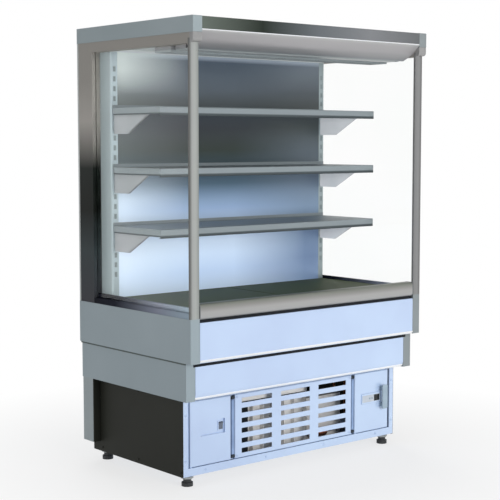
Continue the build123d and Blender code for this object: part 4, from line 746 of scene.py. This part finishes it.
mirror = put(stainless, "ShaderNodeMapRange", {
    "Value": rise.outputs["Result"], "From Max": 0.2, "To Min": 0.05, "To Max": 0.2})
skin = put(stainless, "ShaderNodeBump", {
    "Height": streak.outputs["Fac"], "Strength": 0.05, "Distance": 0.0004})
shell = put(stainless, "ShaderNodeBsdfPrincipled", {
    "Base Color": left.outputs[2], "Metallic": mirror.outputs["Result"], "Roughness": sheen.outputs["Result"],
    "Normal": skin.outputs["Normal"]})
put(stainless, "ShaderNodeOutputMaterial", {"Surface": shell.outputs[0]})
dress(stainless, "back_panel")

# Shelves: three folded trays of coated steel resting on the brackets, every 252 mm. They are an even mid
# grey, with painted shade that makes them much darker along the return fold at the foot of the front band.
shelf_low, shelf_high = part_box("shelf_3")
shelf_coat_painted_shade = graded("mid_grey_coated_steel_painted_shade", "Z", (shelf_low.z, shelf_high.z), (
    (0.0, "#3f4649"), (0.2, "#4c5457"), (0.28, "#8a9397"), (1.0, "#8a9397")),
    gloss=0.44, metal=0.1, every=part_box("shelf_2")[0].z - shelf_low.z)
dress(shelf_coat_painted_shade, "shelf_1", "shelf_2", "shelf_3")

# Side glass: clear 6 mm float glass with a bloomed coat that keeps its mirror faint, standing in
# a dark channel on each end panel, whose darkness is painted shade.
GLASS_WAVE = 0.5
clear = new_finish("clear_bloomed_glass")  # nearly unseen, with a slow and very faint wave
spot = put(clear, "ShaderNodeTexCoord")
wave = put(clear, "ShaderNodeTexNoise", {"Vector": spot.outputs["Object"], "Scale": 1 / GLASS_WAVE})
tint = put(clear, "ShaderNodeValToRGB", {"Fac": wave.outputs["Fac"]}, ((0.3, "#fcfefd"), (0.7, "#ffffff")))
haze = put(clear, "ShaderNodeMapRange", {"Value": wave.outputs["Fac"], "To Min": 0.0, "To Max": 0.004})
skin = put(clear, "ShaderNodeBump", {"Height": wave.outputs["Fac"], "Strength": 0.02, "Distance": 0.002})
pane = put(clear, "ShaderNodeBsdfPrincipled", {
    "Base Color": tint.outputs["Color"], "Roughness": haze.outputs["Result"], "IOR": 1.2,
    "Transmission Weight": 1.0, "Normal": skin.outputs["Normal"]})
shadow = put(clear, "ShaderNodeBsdfTransparent", {"Color": linear("#fafcfb")})
path = put(clear, "ShaderNodeLightPath")
thin = put(clear, "ShaderNodeMixShader", {
    "Fac": path.outputs["Is Shadow Ray"], 1: pane.outputs[0], 2: shadow.outputs[0]})
put(clear, "ShaderNodeOutputMaterial", {"Surface": thin.outputs[0]})
dress(clear, "glass_left", "glass_right")

GLASS_GAP = 0.0002
pane_low, pane_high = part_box("glass_right")
post_low, post_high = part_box("post_right")
pillar_low, pillar_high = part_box("side_frame_right")
SILL_FRONT, SILL_REAR, SILL_FOOT = post_high.y, pane_high.y - 0.0075, post_low.z - 0.0003
# painted shade: blue-black at the pillar and paler towards the front post
shaded_sill_finish = graded("dark_glossy_anodised_channel_painted_shade", "Y", (0.30, -0.38), (
    (0.0, "#0b0c17"), (0.24, "#191c28"), (0.42, "#545863"), (0.69, "#8b90a0"), (1.0, "#9fb0bd")),
    gloss=0.45, shine=0.04)
for side, sign in (("left", -1), ("right", 1)):
    for face, near, far, top in (
        ("outer", pane_high.x + GLASS_GAP, pillar_high.x - 0.0004, post_low.z + 0.024),
        ("inner", pillar_low.x + 0.0025, pane_low.x - GLASS_GAP, post_low.z + 0.041),
    ):
        rail = block(f"sill_{face}_{side}",
                     (sign * near, SILL_FRONT, SILL_FOOT), (sign * far, SILL_REAR, top))
        round_off(rail, 0.003, 3, lambda middle, way: abs(way.y) > 0.9 and middle.z > top - 0.001)
        settle(rail, shaded_sill_finish)

# Posts: slim anodised aluminium channels at the front edge of the glass, satin, with upright draw lines and a
# painted highlight: a bright crown between two darker flanks, the left post lighter than the right. A
# moulded head joins each post to the canopy end over it.
anodised = graded("satin_anodised_aluminium_painted_highlight", "X", (-0.665, 0.665), (
    (0.0, "#6b6c6a"), (0.008, "#9fa19f"), (0.020, "#a3a6a3"), (0.034, "#828683"),
    (0.966, "#7d7d7d"), (0.985, "#868686"), (1.0, "#626262")),
    gloss=0.42, metal=0.2, shine=0.3, grain=(220, 220, 2))
dress(anodised, "post_left", "post_right")
# neutral grey, satin
head_grey = coated("satin_moulded_head", "#8e8e8e", "#9a9998",
                   cloud=0.05, peel=0.002, gloss=0.42, metal=0.2)
canopy_low, canopy_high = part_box("canopy_end_right")
HEAD_NEAR, HEAD_FAR = canopy_low.x + 0.0006, canopy_high.x - 0.0002
HEAD_FRONT, HEAD_REAR = canopy_low.y + 0.0012, post_low.y + SEAT
HEAD_FOOT, HEAD_TOP = canopy_low.z - 0.0375, canopy_low.z + SEAT
for side, sign in (("left", -1), ("right", 1)):
    head = block(f"post_head_{side}",
                 (sign * HEAD_NEAR, HEAD_FRONT, HEAD_FOOT), (sign * HEAD_FAR, HEAD_REAR, HEAD_TOP))
    round_off(head, 0.014, 5, lambda middle, way: abs(way.x) > 0.9
              and middle.y < HEAD_FRONT + 0.003 and middle.z < HEAD_FOOT + 0.001)
    settle(head, head_grey)

# Side frames: the glass rail and rear pillar of enamelled steel, with a drawn aluminium edge strip
# along the rear of each pillar.
FRAME_FOOT, FRAME_TOP = 0.71, 1.84
# painted reflection: dark grey at the foot, black at mid height, silvery near the top
smoked_reflection_finish = graded("smoked_enamelled_steel_painted_reflection", "Z", (FRAME_FOOT, FRAME_TOP), (
    (0.0, "#3c3c41"), (0.2, "#394143"), (0.36, "#121512"), (0.52, "#1d221f"), (0.7, "#b0aba5"),
    (0.85, "#9d9993"), (1.0, "#9c9892")), gloss=0.4, shine=0.08)
dress(smoked_reflection_finish, "side_frame_left", "side_frame_right")
# a thin bright line, a painted highlight, brightest at mid height
pillar_highlight_edge = graded("drawn_aluminium_painted_highlight", "Z", (FRAME_FOOT, FRAME_TOP), (
    (0.0, "#a9adac"), (0.5, "#b7bab9"), (1.0, "#abafae")),
    gloss=0.35, metal=0.3, shine=0.5, grain=(260, 260, 2))
EDGE_NEAR, EDGE_FAR = pillar_high.x - SEAT, pillar_high.x + 0.0016
EDGE_FRONT, EDGE_REAR = pillar_high.y - 0.0105, pillar_high.y - 0.0001
EDGE_FOOT, EDGE_TOP = pillar_low.z + 0.0005, pillar_high.z - 0.0005
for side, sign in (("left", -1), ("right", 1)):
    edge = block(f"pillar_edge_{side}",
                 (sign * EDGE_NEAR, EDGE_FRONT, EDGE_FOOT), (sign * EDGE_FAR, EDGE_REAR, EDGE_TOP))
    round_off(edge, 0.0012, 2, lambda middle, way: abs(way.z) > 0.9 and abs(middle.x) > EDGE_FAR - 0.0006)
    settle(edge, pillar_highlight_edge)

# Fascia: a lacquered board across the canopy, dark and glossy, with a painted reflection that is darkest a
# quarter of the way from the left and greyer to the right. A polished aluminium trim is pressed on along its
# lower edge.
lacquer_reflection_finish = graded("dark_glossy_lacquer_painted_reflection", "X", (-0.62, 0.62), (
    (0.0, "#5f6760"), (0.25, "#1f2720"), (0.5, "#61666a"), (0.75, "#7b7d80"), (1.0, "#66686a")),
    gloss=0.25, metal=0.1)
dress(lacquer_reflection_finish, "fascia")
board_low, board_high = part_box("fascia")
FASCIA_TRIM_FRONT = board_low.y + 0.0002
trim = block("fascia_trim", (board_low.x + 0.0005, FASCIA_TRIM_FRONT, board_low.z - 0.0038),
             (board_high.x - 0.0005, board_high.y - 0.001, board_low.z + SEAT))
round_off(trim, 0.0012, 3, lambda middle, way: abs(way.x) > 0.9 and middle.y < FASCIA_TRIM_FRONT + 0.0008)
settle(trim, polished)

# Visor, lamp housing and air outlet: coated aluminium profiles under the canopy, light grey with painted
# light and shade by height, palest along the upper edge of the visor, with a coated ceiling sheet behind.
visor_coat_painted_light = graded("light_grey_coated_aluminium_painted_light", "Z", (1.776, 1.852), (
    (0.0, "#949da0"), (0.08, "#818487"), (0.25, "#949496"), (0.42, "#a2a0a2"), (0.75, "#a6a4a5"),
    (1.0, "#b3b5b5")), gloss=0.36, metal=0.2, shine=0.4)
dress(visor_coat_painted_light, "visor", "lamp_housing", "air_outlet")
# paler and flatter than the visor
ceiling_coat = coated("pale_grey_coated_ceiling", "#cdd3d3", "#d8dddc",
                      cloud=0.4, peel=0.004, gloss=0.42, shine=0.2)
dress(ceiling_coat, "ceiling")

# Lamp: a tube with a moulded polycarbonate diffuser, clipped into its housing and unlit. It is milky grey
# with a soft gloss, the grey a painted shade of the unlit diffuser.
shaded_opal = coated("opal_polycarbonate_painted_shade", "#a2a8aa", "#aeb3b5", cloud=0.1, peel=0.002, gloss=0.3)
dress(shaded_opal, "lamp_tube")

bpy.data.objects.remove(screw)
